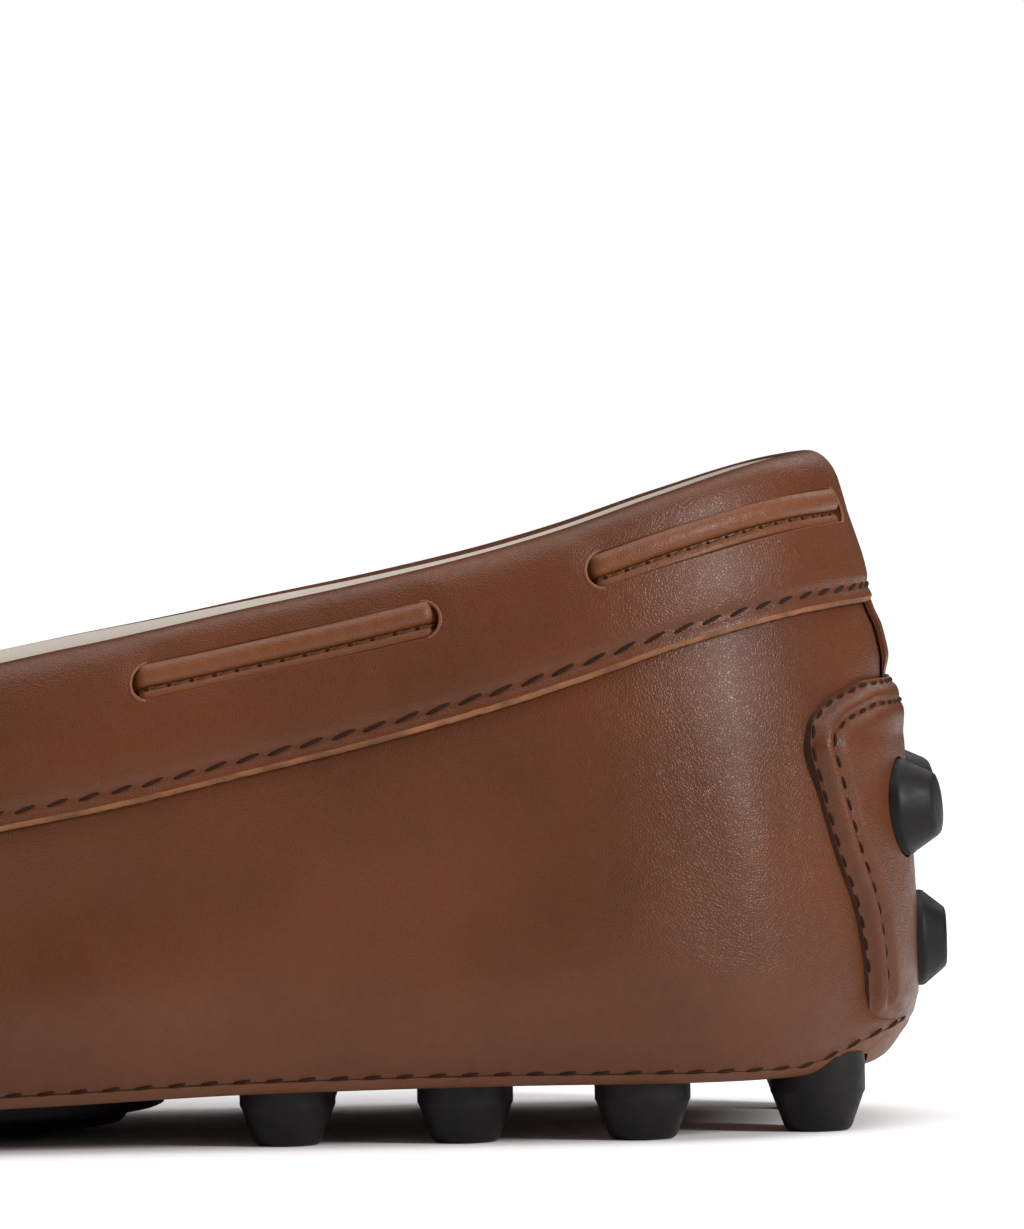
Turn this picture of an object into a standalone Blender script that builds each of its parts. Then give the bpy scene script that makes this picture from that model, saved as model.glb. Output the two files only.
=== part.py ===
"""Driving moccasin: a left shoe with a soft leather upper, a laced collar band and a studded rubber sole.

The toe points to -Y, the outer side is +X and the studs stand on z = 0. Sizes are in millimetres up
to the point where a mesh is made. A place on the upper is given by g and q: g runs round the shoe,
from 0 at the back of the heel to +1 at the toe along the outer side, and to -1 along the inner side;
q runs up the wall, from 0 at the flat of the sole to 1 at the widest level and 2 at the top edge.
"""

import bisect
import math

import bmesh
import bpy
from mathutils import Matrix, Vector

MM = 0.001

# The last: a row for each station, which is the distance from the back of the heel.
# The half widths are at the widest level of the wall, from the centre line.
LAST = (
    # station, outer, inner, centre, sole height, rise to the widest level, tuck under the wall
    (0, 33.0, 32.0, 0.0, 6.6, 8.2, 3.4),
    (8, 33.0, 32.0, 0.0, 5.7, 9.6, 4.0),
    (18, 33.0, 32.0, 0.0, 5.4, 11.0, 4.8),
    (36, 33.0, 32.0, 0.0, 5.5, 12.0, 5.0),
    (62, 33.6, 30.6, 0.0, 5.2, 13.0, 5.2),
    (95, 35.6, 28.8, 0.0, 4.1, 13.5, 5.8),
    (130, 40.5, 31.5, 0.0, 4.3, 13.0, 6.4),
    (165, 46.5, 40.5, -0.4, 5.0, 12.5, 6.8),
    (190, 50.0, 46.0, -1.2, 5.0, 12.0, 7.2),
    (210, 50.2, 48.6, -2.2, 5.2, 12.0, 7.6),
    (240, 48.0, 48.0, -4.2, 7.0, 11.5, 8.2),
    (281, 46.0, 46.0, -7.0, 12.6, 10.0, 9.0),
)
WIDEST_START, WIDEST_END = 2.2, 281.0
HEEL_REACH, HEEL_POWER = 33.0, 2.35
TOE_REACH_OUTER, TOE_REACH_INNER, TOE_POWER = 78.0, 64.0, 2.15

# The top edge of the wall: the collar back to the throat, then the apron seam on to the toe.
TOP_EDGE = (
    # station, half width, height
    (9.6, 26.6, 65.3),
    (14.3, 26.6, 64.6),
    (25, 26.6, 61.8),
    (35, 26.8, 58.6),
    (43, 27.0, 56.4),
    (54, 27.6, 53.9),
    (64, 28.2, 51.9),
    (81, 29.4, 48.4),
    (100, 30.0, 45.2),
    (119, 29.2, 44.6),
    (135, 27.0, 48.0),
    (150, 23.6, 54.2),
    (164, 19.6, 60.6),
    (176, 24.0, 56.8),
    (192, 28.6, 51.6),
    (212, 31.6, 46.2),
    (236, 31.6, 41.0),
    (262, 31.0, 36.4),
)
TOP_START, TOP_END = 9.6, 262.0
COLLAR_REACH, COLLAR_POWER = 27.0, 2.1
APRON_REACH, APRON_POWER = 46.0, 2.1
APRON_CROWN = 4.0
TOE_FULLNESS = 0.8

COLUMNS = 28
THROAT = 16 / COLUMNS
WALL = 2.0
CLEAR = 0.3
RIDGE_HEIGHT, RIDGE_WIDTH = 1.5, 3.0

# The collar band is a sheet folded over the top edge. n is the distance out from the wall's surface
# and d the distance down from the top edge.
BAND_WIDTHS = (
    # station, width down the wall
    (0, 15.9),
    (12, 15.3),
    (28, 15.0),
    (45, 15.6),
    (64, 16.4),
    (85, 16.9),
    (120, 16.4),
    (165, 15.4),
)
BAND_SETBACK = 1.5
BAND_SECTION = (
    # n, d; no d means the width
    (0.3, None),
    (1.4, None),
    (1.6, 8.4),
    (1.6, 3.2),
    (0.9, 1.0),
    (-0.8, 0.0),
    (-2.8, 0.0),
    (-4.5, 0.9),
    (-5.0, 3.2),
    (-5.0, 9.0),
    (-3.9, 9.0),
    (-3.9, 2.3),
    (-3.2, 1.2),
    (-1.0, 1.2),
    (0.5, 3.4),
    (0.5, 8.4),
)
BAND_END = THROAT - 0.008
LACE_DEPTH, LACE_WIDTH, LACE_THICKNESS = 5.6, 3.0, 1.3
LACE_REST, LACE_LIFT, LACE_RAMP, LACE_HIDDEN, HIDDEN_PITCH = -0.5, 1.25, 3.0, 1.4, 4.6
SLOT_HEIGHT = 3.6
SLOTS = (
    # start and end along the lace, from the back of the heel
    (7.0, 41.5),
    (56.0, 86.0),
    (101.0, 131.0),
)
EYELET_ARC, EYELET_RADIUS = 154.0, 2.1

# The leather shield on the back of the heel, a row for each height.
PATCH = (
    # height, half width along the wall
    (11.6, 18.6),
    (14.0, 19.6),
    (20.0, 21.0),
    (27.0, 24.0),
    (33.0, 26.6),
    (37.5, 28.0),
    (40.3, 26.8),
    (42.2, 23.0),
    (43.3, 16.0),
)
PATCH_SHEET, PATCH_PADDING, PATCH_MARGIN = 1.2, 1.0, 4.0
PATCH_ACROSS = 12
BACK_PLATE_SHEET, BACK_PLATE_HALF = 0.7, 15.5
BACK_PLATE_LOW, BACK_PLATE_HIGH = 16.4, 36.4
BACK_STUDS = (
    # length from the middle, height, how far it stands out of the patch
    (9.6, 30.8, 3.5),
    (-9.6, 30.8, 3.5),
    (0.0, 17.6, 2.7),
)
BACK_STUD_SIDES = 12
BACK_STUD_RADIUS, BACK_STUD_TIP, BACK_STUD_COLLAR = 4.7, 2.8, 0.6

BACKSTAY_HALF, BACKSTAY_SHEET, BACKSTAY_BOW = 6.0, 1.0, 0.9
BACKSTAY_LOW, BACKSTAY_HIGH = 44.4, 49.4

# The sole, from the floor up.
SEAM_SIDE, SEAM_BACK, SEAM_RISE_LENGTH, SEAM_GAP = 0.28, 0.66, 9.0, 0.012
PANEL_SHEET, PLATE_SHEET, PLATE_MARGIN, INSOLE_SHEET = 1.4, 1.0, 1.2, 3.0
INSOLE_EDGE = 1.7
STUD_RADIUS, STUD_TIP, STUD_COLLAR, STUD_LENGTH, STUD_SIDES = 4.6, 3.0, 1.4, 5.0, 8
STUD_PITCH, FIRST_STUD, STUD_MARGIN, STUD_REACH = 17.0, 10.6, 4.7, 0.8
STUD_ROWS = (
    # pitches from the first row, studs in the row, further inset
    (0, 2, 0.0),
    (1, 3, 0.0),
    (2, 3, 0.0),
    (3, 3, 0.0),
    (8, 3, 0.0),
    (9, 4, 0.0),
    (10, 4, 0.0),
    (11, 5, 0.0),
    (12, 5, 0.0),
    (13, 4, 1.0),
    (14, 3, 3.0),
    (15, 2, 5.0),
)
HEEL_ROWS = 4
HEEL_PLATE = (5.0, 67.0)
FOREFOOT_PLATE = (137.5, 270.0)
PAD_CENTRE, PAD_STATION, PAD_HALF_LENGTH, PAD_HALF_WIDTH = 2.6, 104.0, 30.0, 19.0
PAD_STEPS = (
    # inset of the outline, height over the underside of the leather
    (-2.0, 2.3),
    (-2.0, 1.7),
    (0.0, 1.7),
    (0.0, -1.5),
    (0.8, -2.1),
    (3.4, -2.3),
    (4.0, -3.2),
    (5.2, -3.5),
)

TONGUE_FRONT, TONGUE_END = 178.0, 138.0
TONGUE_HALF_FRONT, TONGUE_HALF_END, TONGUE_SHEET = 12.5, 14.5, 1.8

# The outer corners of the whole shoe lie at equal distances from the origin.
REAR_TIP = -2.9
HEEL_Y = (WIDEST_END + REAR_TIP) / 2

# sRGB colours
LEATHER = (0.42, 0.26, 0.18)
LINING = (0.66, 0.62, 0.56)
RUBBER = (0.13, 0.125, 0.12)
LACE = (0.47, 0.29, 0.19)


def smooth(table, column, station):
    """The value of a column of a table at a station, on a smooth curve that never overshoots its rows."""
    stations = [row[0] for row in table]
    values = [row[column] for row in table]
    if station <= stations[0]:
        return values[0]
    if station >= stations[-1]:
        return values[-1]
    steps = [b - a for a, b in zip(stations, stations[1:])]
    slopes = [(b - a) / h for a, b, h in zip(values, values[1:], steps)]
    tangents = [slopes[0]]
    for before, after in zip(slopes, slopes[1:]):
        tangents.append(2 * before * after / (before + after) if before * after > 0 else 0.0)
    tangents.append(slopes[-1])
    i = bisect.bisect_right(stations, station) - 1
    h = steps[i]
    t = (station - stations[i]) / h
    return (
        values[i] * (1 + 2 * t) * (1 - t) ** 2
        + tangents[i] * h * t * (1 - t) ** 2
        + values[i + 1] * t * t * (3 - 2 * t)
        + tangents[i + 1] * h * t * t * (t - 1)
    )


def ease(value):
    """0 below 0, 1 above 1 and a smooth step between."""
    t = min(1.0, max(0.0, value))
    return t * t * (3 - 2 * t)


def rounding(distance, reach, power):
    """How much of the full width an outline has at a distance from its round end."""
    left = 1 - min(1.0, max(0.0, distance) / reach)
    return (1 - left**power) ** (1 / power)


def wrapped(g):
    return (g + 1) % 2 - 1


def travel(g):
    """The share of the length reached at g, with more places where the outline turns."""
    return math.sin(math.pi * abs(g) / 2) ** 2


def columns_to(last):
    """The g of each column on one side, from the heel on; one more stands at the band's end."""
    evenly = [i / COLUMNS for i in range(COLUMNS + 1)]
    return [g for g in sorted(evenly + [BAND_END]) if g <= last]


def placed(x, station, z):
    return Vector((x - WIDTH_MID, HEEL_Y - station, z))


def widest(g):
    """(x, station) of the wall's widest level."""
    g = wrapped(g)
    outer = g >= 0
    station = WIDEST_START + (WIDEST_END - WIDEST_START) * travel(g)
    half = smooth(LAST, 1 if outer else 2, station)
    half *= rounding(station - WIDEST_START, HEEL_REACH, HEEL_POWER)
    toe_reach = TOE_REACH_OUTER if outer else TOE_REACH_INNER
    half *= rounding(WIDEST_END - station, toe_reach, TOE_POWER)
    return smooth(LAST, 3, station) + (half if outer else -half), station


def top_edge(g):
    """(x, station, height) of the wall's top edge: the collar, then the apron seam."""
    g = wrapped(g)
    station = TOP_START + (TOP_END - TOP_START) * travel(g)
    half = smooth(TOP_EDGE, 1, station)
    half *= rounding(station - TOP_START, COLLAR_REACH, COLLAR_POWER)
    half *= rounding(TOP_END - station, APRON_REACH, APRON_POWER)
    return smooth(LAST, 3, station) + math.copysign(half, g), station, smooth(TOP_EDGE, 2, station)


STEP = 0.002


def outward(g):
    """Unit plan direction (x, station) that points out of the widest outline."""
    x0, s0 = widest(g - STEP)
    x1, s1 = widest(g + STEP)
    length = math.hypot(x1 - x0, s1 - s0)
    return (s1 - s0) / length, -(x1 - x0) / length


def collar_share(g):
    """1 along the collar band and 0 from the throat to the toe."""
    return 1 - ease((abs(wrapped(g)) - BAND_END) / (THROAT - BAND_END))


def wall(g, q):
    """A point on the outer surface of the upper or of the tuck beneath it."""
    x, station = widest(g)
    low = smooth(LAST, 4, station)
    rise = smooth(LAST, 5, station)
    if q <= 1:
        angle = q * math.pi / 2
        out = -smooth(LAST, 6, station) * (1 - math.sin(angle))
        ox, os = outward(g)
        low = smooth(LAST, 4, station + os * out)
        return placed(x + ox * out, station + os * out, low + rise * (1 - math.cos(angle)))
    t = q - 1
    top_x, top_station, top_z = top_edge(g)
    height = low + rise
    full = TOE_FULLNESS * ease((abs(wrapped(g)) - 0.55) / 0.4)
    into = t * t + full * (1 - math.cos(t * math.pi / 2) - t * t)
    up = t + full * (math.sin(t * math.pi / 2) - t)
    return placed(
        x + (top_x - x) * into,
        station + (top_station - station) * into,
        height + (top_z - height) * up,
    )


def wall_normal(g, q):
    """The unit normal of wall(g, q), pointing out of the shoe."""
    low, high = max(0.0, q - STEP), min(2.0, q + STEP)
    along = wall(g + STEP, q) - wall(g - STEP, q)
    up = wall(g, high) - wall(g, low)
    return up.cross(along).normalized()


def at_depth(g, depth):
    """The q of the place that lies a distance down the wall from its top edge."""
    count = 24
    before = wall(g, 2.0)
    run = 0.0
    for i in range(1, count + 1):
        q = 2.0 - i / count
        here = wall(g, q)
        length = (here - before).length
        if run + length >= depth:
            return q + (1 - (depth - run) / length) / count
        run += length
        before = here
    return 1.0


def wall_run(g):
    """The length up the wall from its widest level to its top edge."""
    places = [wall(g, 1 + i / 12) for i in range(13)]
    return sum((b - a).length for a, b in zip(places, places[1:]))


def at_height(g, z):
    """The q of the place on the wall at a height."""
    low, high = 0.0, 2.0
    for _ in range(30):
        middle = (low + high) / 2
        if wall(g, middle).z < z:
            low = middle
        else:
            high = middle
    return low


def arc_table(q_of_g, count=240):
    """Lengths along a line on the wall from the back of the heel, for evenly spaced g."""
    lengths = [0.0]
    before = wall(0.0, q_of_g(0.0))
    for i in range(1, count + 1):
        here = wall(i / count, q_of_g(i / count))
        lengths.append(lengths[-1] + (here - before).length)
        before = here
    return lengths


def g_at(lengths, arc):
    """The g at a signed length along the line of an arc table."""
    i = min(len(lengths) - 2, bisect.bisect_right(lengths, abs(arc)) - 1)
    share = (abs(arc) - lengths[i]) / (lengths[i + 1] - lengths[i])
    return math.copysign((i + share) / (len(lengths) - 1), arc)


def setback(g, depth):
    """How far the wall stands in beneath the collar band, which then lies nearly flush."""
    return -BAND_SETBACK * collar_share(g) * (1 - ease((depth - 13.0) / 5.0))


def band_place(g, n, depth):
    """The point at n out from the wall and a depth below the top edge, on the collar."""
    if depth is None:
        depth = smooth(BAND_WIDTHS, 1, top_edge(g)[1])
    q = at_depth(g, max(0.0, depth))
    return wall(g, q) + wall_normal(g, q) * n


def mid_width():
    """The x midway between the two widest places."""
    xs = [widest(i / 200)[0] for i in range(-200, 200)]
    return (max(xs) + min(xs)) / 2


WIDTH_MID = mid_width()


def new_object(name, bm, colour, roughness=0.5):
    """Makes the named object from a bmesh in millimetres."""
    bmesh.ops.recalc_face_normals(bm, faces=bm.faces)
    bmesh.ops.triangulate(bm, faces=bm.faces)
    bmesh.ops.scale(bm, vec=(MM, MM, MM), verts=bm.verts)
    mesh = bpy.data.meshes.new(name)
    bm.to_mesh(mesh)
    bm.free()
    obj = bpy.data.objects.new(name, mesh)
    shoe.objects.link(obj)
    mesh.shade_smooth()
    mesh.set_sharp_from_angle(angle=math.radians(35))
    mesh.materials.append(material(name, colour, roughness))
    return obj


def material(name, colour, roughness):
    made = bpy.data.materials.new(name)
    made.use_nodes = True
    shader = made.node_tree.nodes["Principled BSDF"]
    shader.inputs["Base Color"].default_value = (*[c**2.2 for c in colour], 1)
    shader.inputs["Roughness"].default_value = roughness
    return made


def cutter(name, bm):
    """An object that only cuts or joins, kept out of the shoe."""
    obj = new_object(name, bm, RUBBER)
    shoe.objects.unlink(obj)
    cutters.objects.link(obj)
    obj.hide_render = True
    obj.display_type = "WIRE"
    return obj


def boolean(obj, other, operation):
    modifier = obj.modifiers.new(other.name, "BOOLEAN")
    modifier.object = other
    modifier.operation = operation
    modifier.solver = "MANIFOLD"


def thicken(bm, out, inn, normals=None):
    """Turns an open surface into a solid between two offsets, which are functions of a vertex."""
    bm.normal_update()
    verts = list(bm.verts)
    faces = list(bm.faces)
    edges = [edge for edge in bm.edges if edge.is_boundary]
    ways = {v: v.normal.copy() for v in verts}
    ways.update(normals or {})
    inner = {v: bm.verts.new(v.co + ways[v] * inn(v)) for v in verts}
    rims = [[(v, inner[v]) for v in edge.verts] for edge in edges]
    moved = {v: v.co + ways[v] * out(v) for v in verts}
    for face in faces:
        bm.faces.new([inner[v] for v in reversed(face.verts)])
    for (a, a_in), (b, b_in) in rims:
        bm.faces.new((a, b, b_in, a_in))
    for v, place in moved.items():
        v.co = place


def grid_surface(rows):
    """A bmesh with a face between each pair of rows of points."""
    bm = bmesh.new()
    made = [[bm.verts.new(point) for point in row] for row in rows]
    for a, b in zip(made, made[1:]):
        for i in range(len(a) - 1):
            bm.faces.new((a[i], a[i + 1], b[i + 1], b[i]))
    return bm


def sweep(sections):
    """A bmesh of a closed tube through sections with equal numbers of points, with its ends filled."""
    bm = bmesh.new()
    loops = [[bm.verts.new(point) for point in section] for section in sections]
    for a, b in zip(loops, loops[1:]):
        for i in range(len(a)):
            j = (i + 1) % len(a)
            bm.faces.new((a[i], a[j], b[j], b[i]))
    bm.faces.new(loops[0])
    bm.faces.new(reversed(loops[-1]))
    return bm


def seam_q(g):
    """Where the sole panel meets the upper: low along the sides, higher round the back."""
    station = widest(g)[1]
    share = 1 - ease((station - WIDEST_START) / SEAM_RISE_LENGTH)
    return SEAM_SIDE + (SEAM_BACK - SEAM_SIDE) * share


def apron(g, w):
    """A point of the apron, on the line across at |g|; w runs from -1 inside to +1 outside."""
    outer = Vector(top_edge(abs(g)))
    inner = Vector(top_edge(-abs(g)))
    x, station, z = inner.lerp(outer, (w + 1) / 2)
    share = ease((1 - abs(g)) / (1 - THROAT) * 2.2)
    return placed(x, station, z + APRON_CROWN * share * (1 - w * w))


WALL_ROWS_LOW = (0.0, 0.34, 0.68, 1.0)
COLLAR_DEPTHS = (27.0, 18.5, 15.5, 12.5, 6.0, 2.0)
VAMP_DEPTHS = (24.0, 16.0, 10.0, 6.0, 2.8, 0.0)
APRON_ACROSS = (-1.0, -0.86, -0.55, -0.2, 0.2, 0.55, 0.86, 1.0)


def wall_column(g):
    """The points up the wall at g, each with the wall's normal there."""
    start = seam_q(g) + SEAM_GAP
    column = []
    for share in WALL_ROWS_LOW:
        q = start + (1 - start) * share
        column.append((wall(g, q), wall_normal(g, q)))
    share = collar_share(g)
    squeeze = min(1.0, 0.85 * wall_run(g) / COLLAR_DEPTHS[0])
    for collar_depth, vamp_depth in zip(COLLAR_DEPTHS, VAMP_DEPTHS):
        depth = (collar_depth * share + vamp_depth * (1 - share)) * squeeze
        q = at_depth(g, depth)
        normal = wall_normal(g, q)
        column.append((wall(g, q) + normal * setback(g, depth), normal))
    return column


def make_upper():
    """The hollow upper: the wall all round, and the apron that its raised seam joins over the toes."""
    bm = bmesh.new()
    normals = {}
    columns = {}
    side = columns_to(1.0)
    around = [-g for g in reversed(side[1:-1])] + side
    for g in around:
        columns[g] = []
        for point, normal in wall_column(g):
            vert = bm.verts.new(point)
            normals[vert] = normal
            columns[g].append(vert)
    for g, after_g in zip(around, around[1:] + around[:1]):
        here, after = columns[g], columns[after_g]
        for i in range(len(here) - 1):
            bm.faces.new((here[i], after[i], after[i + 1], here[i + 1]))
    ridge = [columns[g][-1] for g in around if abs(g) > THROAT]
    for vert in [columns[g][-1] for g in around if abs(g) >= THROAT]:
        del normals[vert]
    rows = []
    for g in [g for g in side if THROAT <= g < 1]:
        row = [columns[-g][-1]]
        row += [bm.verts.new(apron(g, w)) for w in APRON_ACROSS[1:-1]]
        row.append(columns[g][-1])
        rows.append(row)
    for a, b in zip(rows, rows[1:]):
        for i in range(len(a) - 1):
            bm.faces.new((a[i], b[i], b[i + 1], a[i + 1]))
    tip = columns[1.0][-1]
    for a, b in zip(rows[-1], rows[-1][1:]):
        bm.faces.new((a, tip, b))
    bmesh.ops.recalc_face_normals(bm, faces=bm.faces)
    low = min(bm.verts, key=lambda v: v.co.y)
    bm.normal_update()
    if low.normal.y > 0:
        bmesh.ops.reverse_faces(bm, faces=bm.faces)
    thicken(bm, lambda v: RIDGE_HEIGHT if v in ridge else 0.0, lambda v: -WALL, normals)
    return new_object("upper", bm, LEATHER)


def make_collar_band():
    """The band folded over the collar, with a window for each stretch of lace and two eyelets."""
    sections = []
    side = columns_to(BAND_END)
    for g in [-g for g in reversed(side[1:])] + side:
        sections.append([band_place(g, n, depth) for n, depth in BAND_SECTION])
    band = new_object("collar_band", sweep(sections), LEATHER)
    for side in (1, -1):
        for k, (start, end) in enumerate(SLOTS):
            name = f"slot_cut_{'outer' if side > 0 else 'inner'}_{k}"
            slot = slot_cutter(name, side * (start + end) / 2, (end - start) / 2, SLOT_HEIGHT / 2)
            boolean(band, slot, "DIFFERENCE")
        name = f"eyelet_cut_{'outer' if side > 0 else 'inner'}"
        eyelet = slot_cutter(name, side * EYELET_ARC, EYELET_RADIUS, EYELET_RADIUS)
        boolean(band, eyelet, "DIFFERENCE")
    return band


def slot_cutter(name, middle, half_length, half_height):
    """A bar with round ends that follows the band and passes through its outer sheet only."""
    straight = half_length - half_height
    angles = [math.radians(a) for a in (-76, -40, 0)]
    runs = [(-straight + half_height * math.sin(a), half_height * math.cos(a)) for a in angles]
    count = max(1, round(straight / 3))
    runs += [(-straight + 2 * straight * i / count, half_height) for i in range(1, count)]
    runs += [(-run, half) for run, half in reversed(runs[:3])]
    if straight == 0:
        runs.pop(2)
    sections = []
    for run, half in runs:
        g = g_at(LACE_LENGTHS, middle + run)
        corners = ((-1.0, -half), (3.5, -half), (3.5, half), (-1.0, half))
        sections.append([band_place(g, n, LACE_DEPTH + down) for n, down in corners])
    return cutter(name, sweep(sections))


def lace_lift(arc):
    """How far the lace comes out into a window, from 0 behind the band to 1 in the window's middle."""
    for start, end in SLOTS:
        into = min(abs(arc) - start, end - abs(arc))
        if into > 0:
            return ease((into - LACE_HIDDEN) / LACE_RAMP)
    return 0.0


def lace_arcs(end):
    """Lengths along the lace, close together where it goes in and out of the windows."""
    half = [0.0]
    for start, stop in [(a + LACE_HIDDEN, b - LACE_HIDDEN) for a, b in SLOTS]:
        half += [start + LACE_RAMP * i / 3 for i in range(4)]
        middle = [start + LACE_RAMP, stop - LACE_RAMP]
        half += [middle[0] + (middle[1] - middle[0]) * i / 5 for i in range(1, 5)]
        half += [stop - LACE_RAMP * i / 3 for i in (3, 2, 1, 0)]
        half += [stop + HIDDEN_PITCH * i for i in (1, 2, 3)]
    half = [arc for arc in half if arc < end - 2.0] + [end]
    return [-arc for arc in reversed(half[1:])] + half


def make_lace():
    """The folded leather lace: it runs round the collar behind the band and comes out in each window."""
    half, thick = LACE_WIDTH / 2, LACE_THICKNESS / 2
    shape = ((-thick, -half), (thick * 0.6, -half), (thick, -half * 0.6))
    shape += ((thick, half), (-thick, half))
    end = EYELET_ARC + EYELET_RADIUS + 1.0
    sections = []
    for arc in lace_arcs(end):
        g = g_at(LACE_LENGTHS, arc)
        base = LACE_REST + LACE_LIFT * lace_lift(arc)
        sections.append([band_place(g, base + n, LACE_DEPTH + down) for n, down in shape])
    return new_object("lace", sweep(sections), LACE)


LACE_LENGTHS = arc_table(lambda g: at_depth(g, LACE_DEPTH))
HEEL_LENGTHS = arc_table(lambda g: 1.0)


def heel_place(arc, z):
    """(point, normal) on the back of the upper at a length from its middle and a height."""
    g = g_at(HEEL_LENGTHS, arc)
    q = at_height(g, z)
    return wall(g, q), wall_normal(g, q)


def make_heel_patch():
    """The leather shield on the back of the heel, padded over its rubber plate."""
    rows = []
    padding = {}
    for height, half in PATCH:
        row = []
        for i in range(PATCH_ACROSS + 1):
            share = 2 * i / PATCH_ACROSS - 1
            point, normal = heel_place(half * share, height)
            edge = half * (1 - abs(share))
            edge = min(edge, height - PATCH[0][0], PATCH[-1][0] - height)
            row.append(point + normal * (CLEAR + PATCH_PADDING * ease(edge / PATCH_MARGIN)))
        rows.append(row)
    bm = grid_surface(rows)
    face_outward(bm)
    thicken(bm, lambda v: PATCH_SHEET, lambda v: 0.0)
    patch = new_object("heel_patch", bm, LEATHER)
    for k, (arc, z, _) in enumerate(BACK_STUDS):
        hole = back_stud(arc, z, CLEAR, 3.0, True)
        boolean(patch, cutter(f"back_stud_hole_{k}", hole), "DIFFERENCE")
    return patch


def face_outward(bm):
    """Turns the faces of an open surface at the heel so that they point to the back."""
    bmesh.ops.recalc_face_normals(bm, faces=bm.faces)
    bm.normal_update()
    if sum(face.normal.y for face in bm.faces) < 0:
        bmesh.ops.reverse_faces(bm, faces=bm.faces)


def turned(profile, sides, place, axis):
    """A bmesh of a turned shape: profile rows are (radius, height) along the axis from the place."""
    turn = axis.to_track_quat("Z", "Y").to_matrix()
    sections = []
    for radius, height in profile:
        section = []
        for i in range(sides):
            angle = 2 * math.pi * (i + 0.5) / sides
            local = Vector((radius * math.cos(angle), radius * math.sin(angle), height))
            section.append(place + turn @ local)
        sections.append(section)
    return sweep(sections)


def back_stud(arc, z, grow, out, hole=False):
    """A stud on the heel's back that stands out of the patch, or the hole that it stands in."""
    point, normal = heel_place(arc, z)
    base = CLEAR + BACK_PLATE_SHEET / 2
    face = CLEAR + PATCH_PADDING + PATCH_SHEET
    radius = BACK_STUD_RADIUS + grow
    if hole:
        profile = ((radius, -0.2), (radius, face + out))
        start = CLEAR + 0.2
        return turned([(r, h + start) for r, h in profile], BACK_STUD_SIDES, point, normal)
    profile = (
        (radius, base),
        (radius, face + BACK_STUD_COLLAR),
        (BACK_STUD_TIP, face + out),
    )
    return turned(profile, BACK_STUD_SIDES, point, normal)


def make_back_studs():
    """The rubber plate under the heel patch, with the studs that stand out of the patch."""
    rows = []
    for i in range(6):
        height = BACK_PLATE_LOW + (BACK_PLATE_HIGH - BACK_PLATE_LOW) * i / 5
        half = BACK_PLATE_HALF * (0.72 + 0.28 * i / 5)
        row = []
        for k in range(7):
            point, normal = heel_place(half * (k / 3 - 1), height)
            row.append(point + normal * CLEAR)
        rows.append(row)
    bm = grid_surface(rows)
    face_outward(bm)
    thicken(bm, lambda v: BACK_PLATE_SHEET, lambda v: 0.0)
    plate = new_object("back_studs", bm, RUBBER, 0.6)
    for k, (arc, z, out) in enumerate(BACK_STUDS):
        boolean(plate, cutter(f"back_stud_{k}", back_stud(arc, z, 0.0, out)), "UNION")
    return plate


def make_backstay():
    """The short strip up the back between the heel patch and the band, bowed a little outwards."""
    rows = []
    for i in range(6):
        share = i / 5
        height = BACKSTAY_LOW + (BACKSTAY_HIGH - BACKSTAY_LOW) * share
        row = []
        for k in range(5):
            point, normal = heel_place(BACKSTAY_HALF * (k / 2 - 1), height)
            row.append(point + normal * (CLEAR + BACKSTAY_BOW * math.sin(math.pi * share)))
        rows.append(row)
    bm = grid_surface(rows)
    face_outward(bm)
    thicken(bm, lambda v: BACKSTAY_SHEET, lambda v: 0.0)
    return new_object("backstay", bm, LEATHER)


def g_of(station):
    """The g whose widest level lies at a station."""
    share = (station - WIDEST_START) / (WIDEST_END - WIDEST_START)
    return 2 / math.pi * math.asin(math.sqrt(min(1.0, max(0.0, share))))


def deck_places(inset, first, last, count=18):
    """Pairs of (x, station) on the inner and outer side, for a plate inset from the widest outline."""
    start, end = g_of(first), g_of(last)
    pairs = []
    for i in range(count + 1):
        sides = []
        reach = start + (end - start) * i / count
        for g in (-reach, reach):
            x, station = widest(g)
            ox, os = outward(g)
            drop = inset(station)
            sides.append((x - ox * drop, station - os * drop))
        pairs.append(sides)
    return pairs


def deck(name, inset, first, last, low, high, colour):
    """A plate that follows the underside of the shoe, between two heights above it."""
    bm = bmesh.new()
    layers = []
    pairs = deck_places(inset, first, last)
    for over in (low, high):
        layer = []
        for sides in pairs:
            verts = []
            for x, station in sides:
                verts.append(bm.verts.new(placed(x, station, smooth(LAST, 4, station) + over)))
            layer.append(verts)
        layers.append(layer)
    for layer in layers:
        for (a, b), (c, d) in zip(layer, layer[1:]):
            bm.faces.new((a, b, d, c))
    below, above = layers
    for side in (0, 1):
        for i in range(len(pairs) - 1):
            a, b = below[i][side], below[i + 1][side]
            c, d = above[i + 1][side], above[i][side]
            bm.faces.new((a, b, c, d))
    for end in (0, -1):
        bm.faces.new((below[end][0], below[end][1], above[end][1], above[end][0]))
    bmesh.ops.remove_doubles(bm, verts=bm.verts, dist=0.05)
    return new_object(name, bm, colour, 0.6)


def plate_inset(station):
    return smooth(LAST, 6, station) + PLATE_MARGIN


def insole_inset(station):
    return INSOLE_EDGE + 0.65 * smooth(LAST, 6, station)


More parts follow.
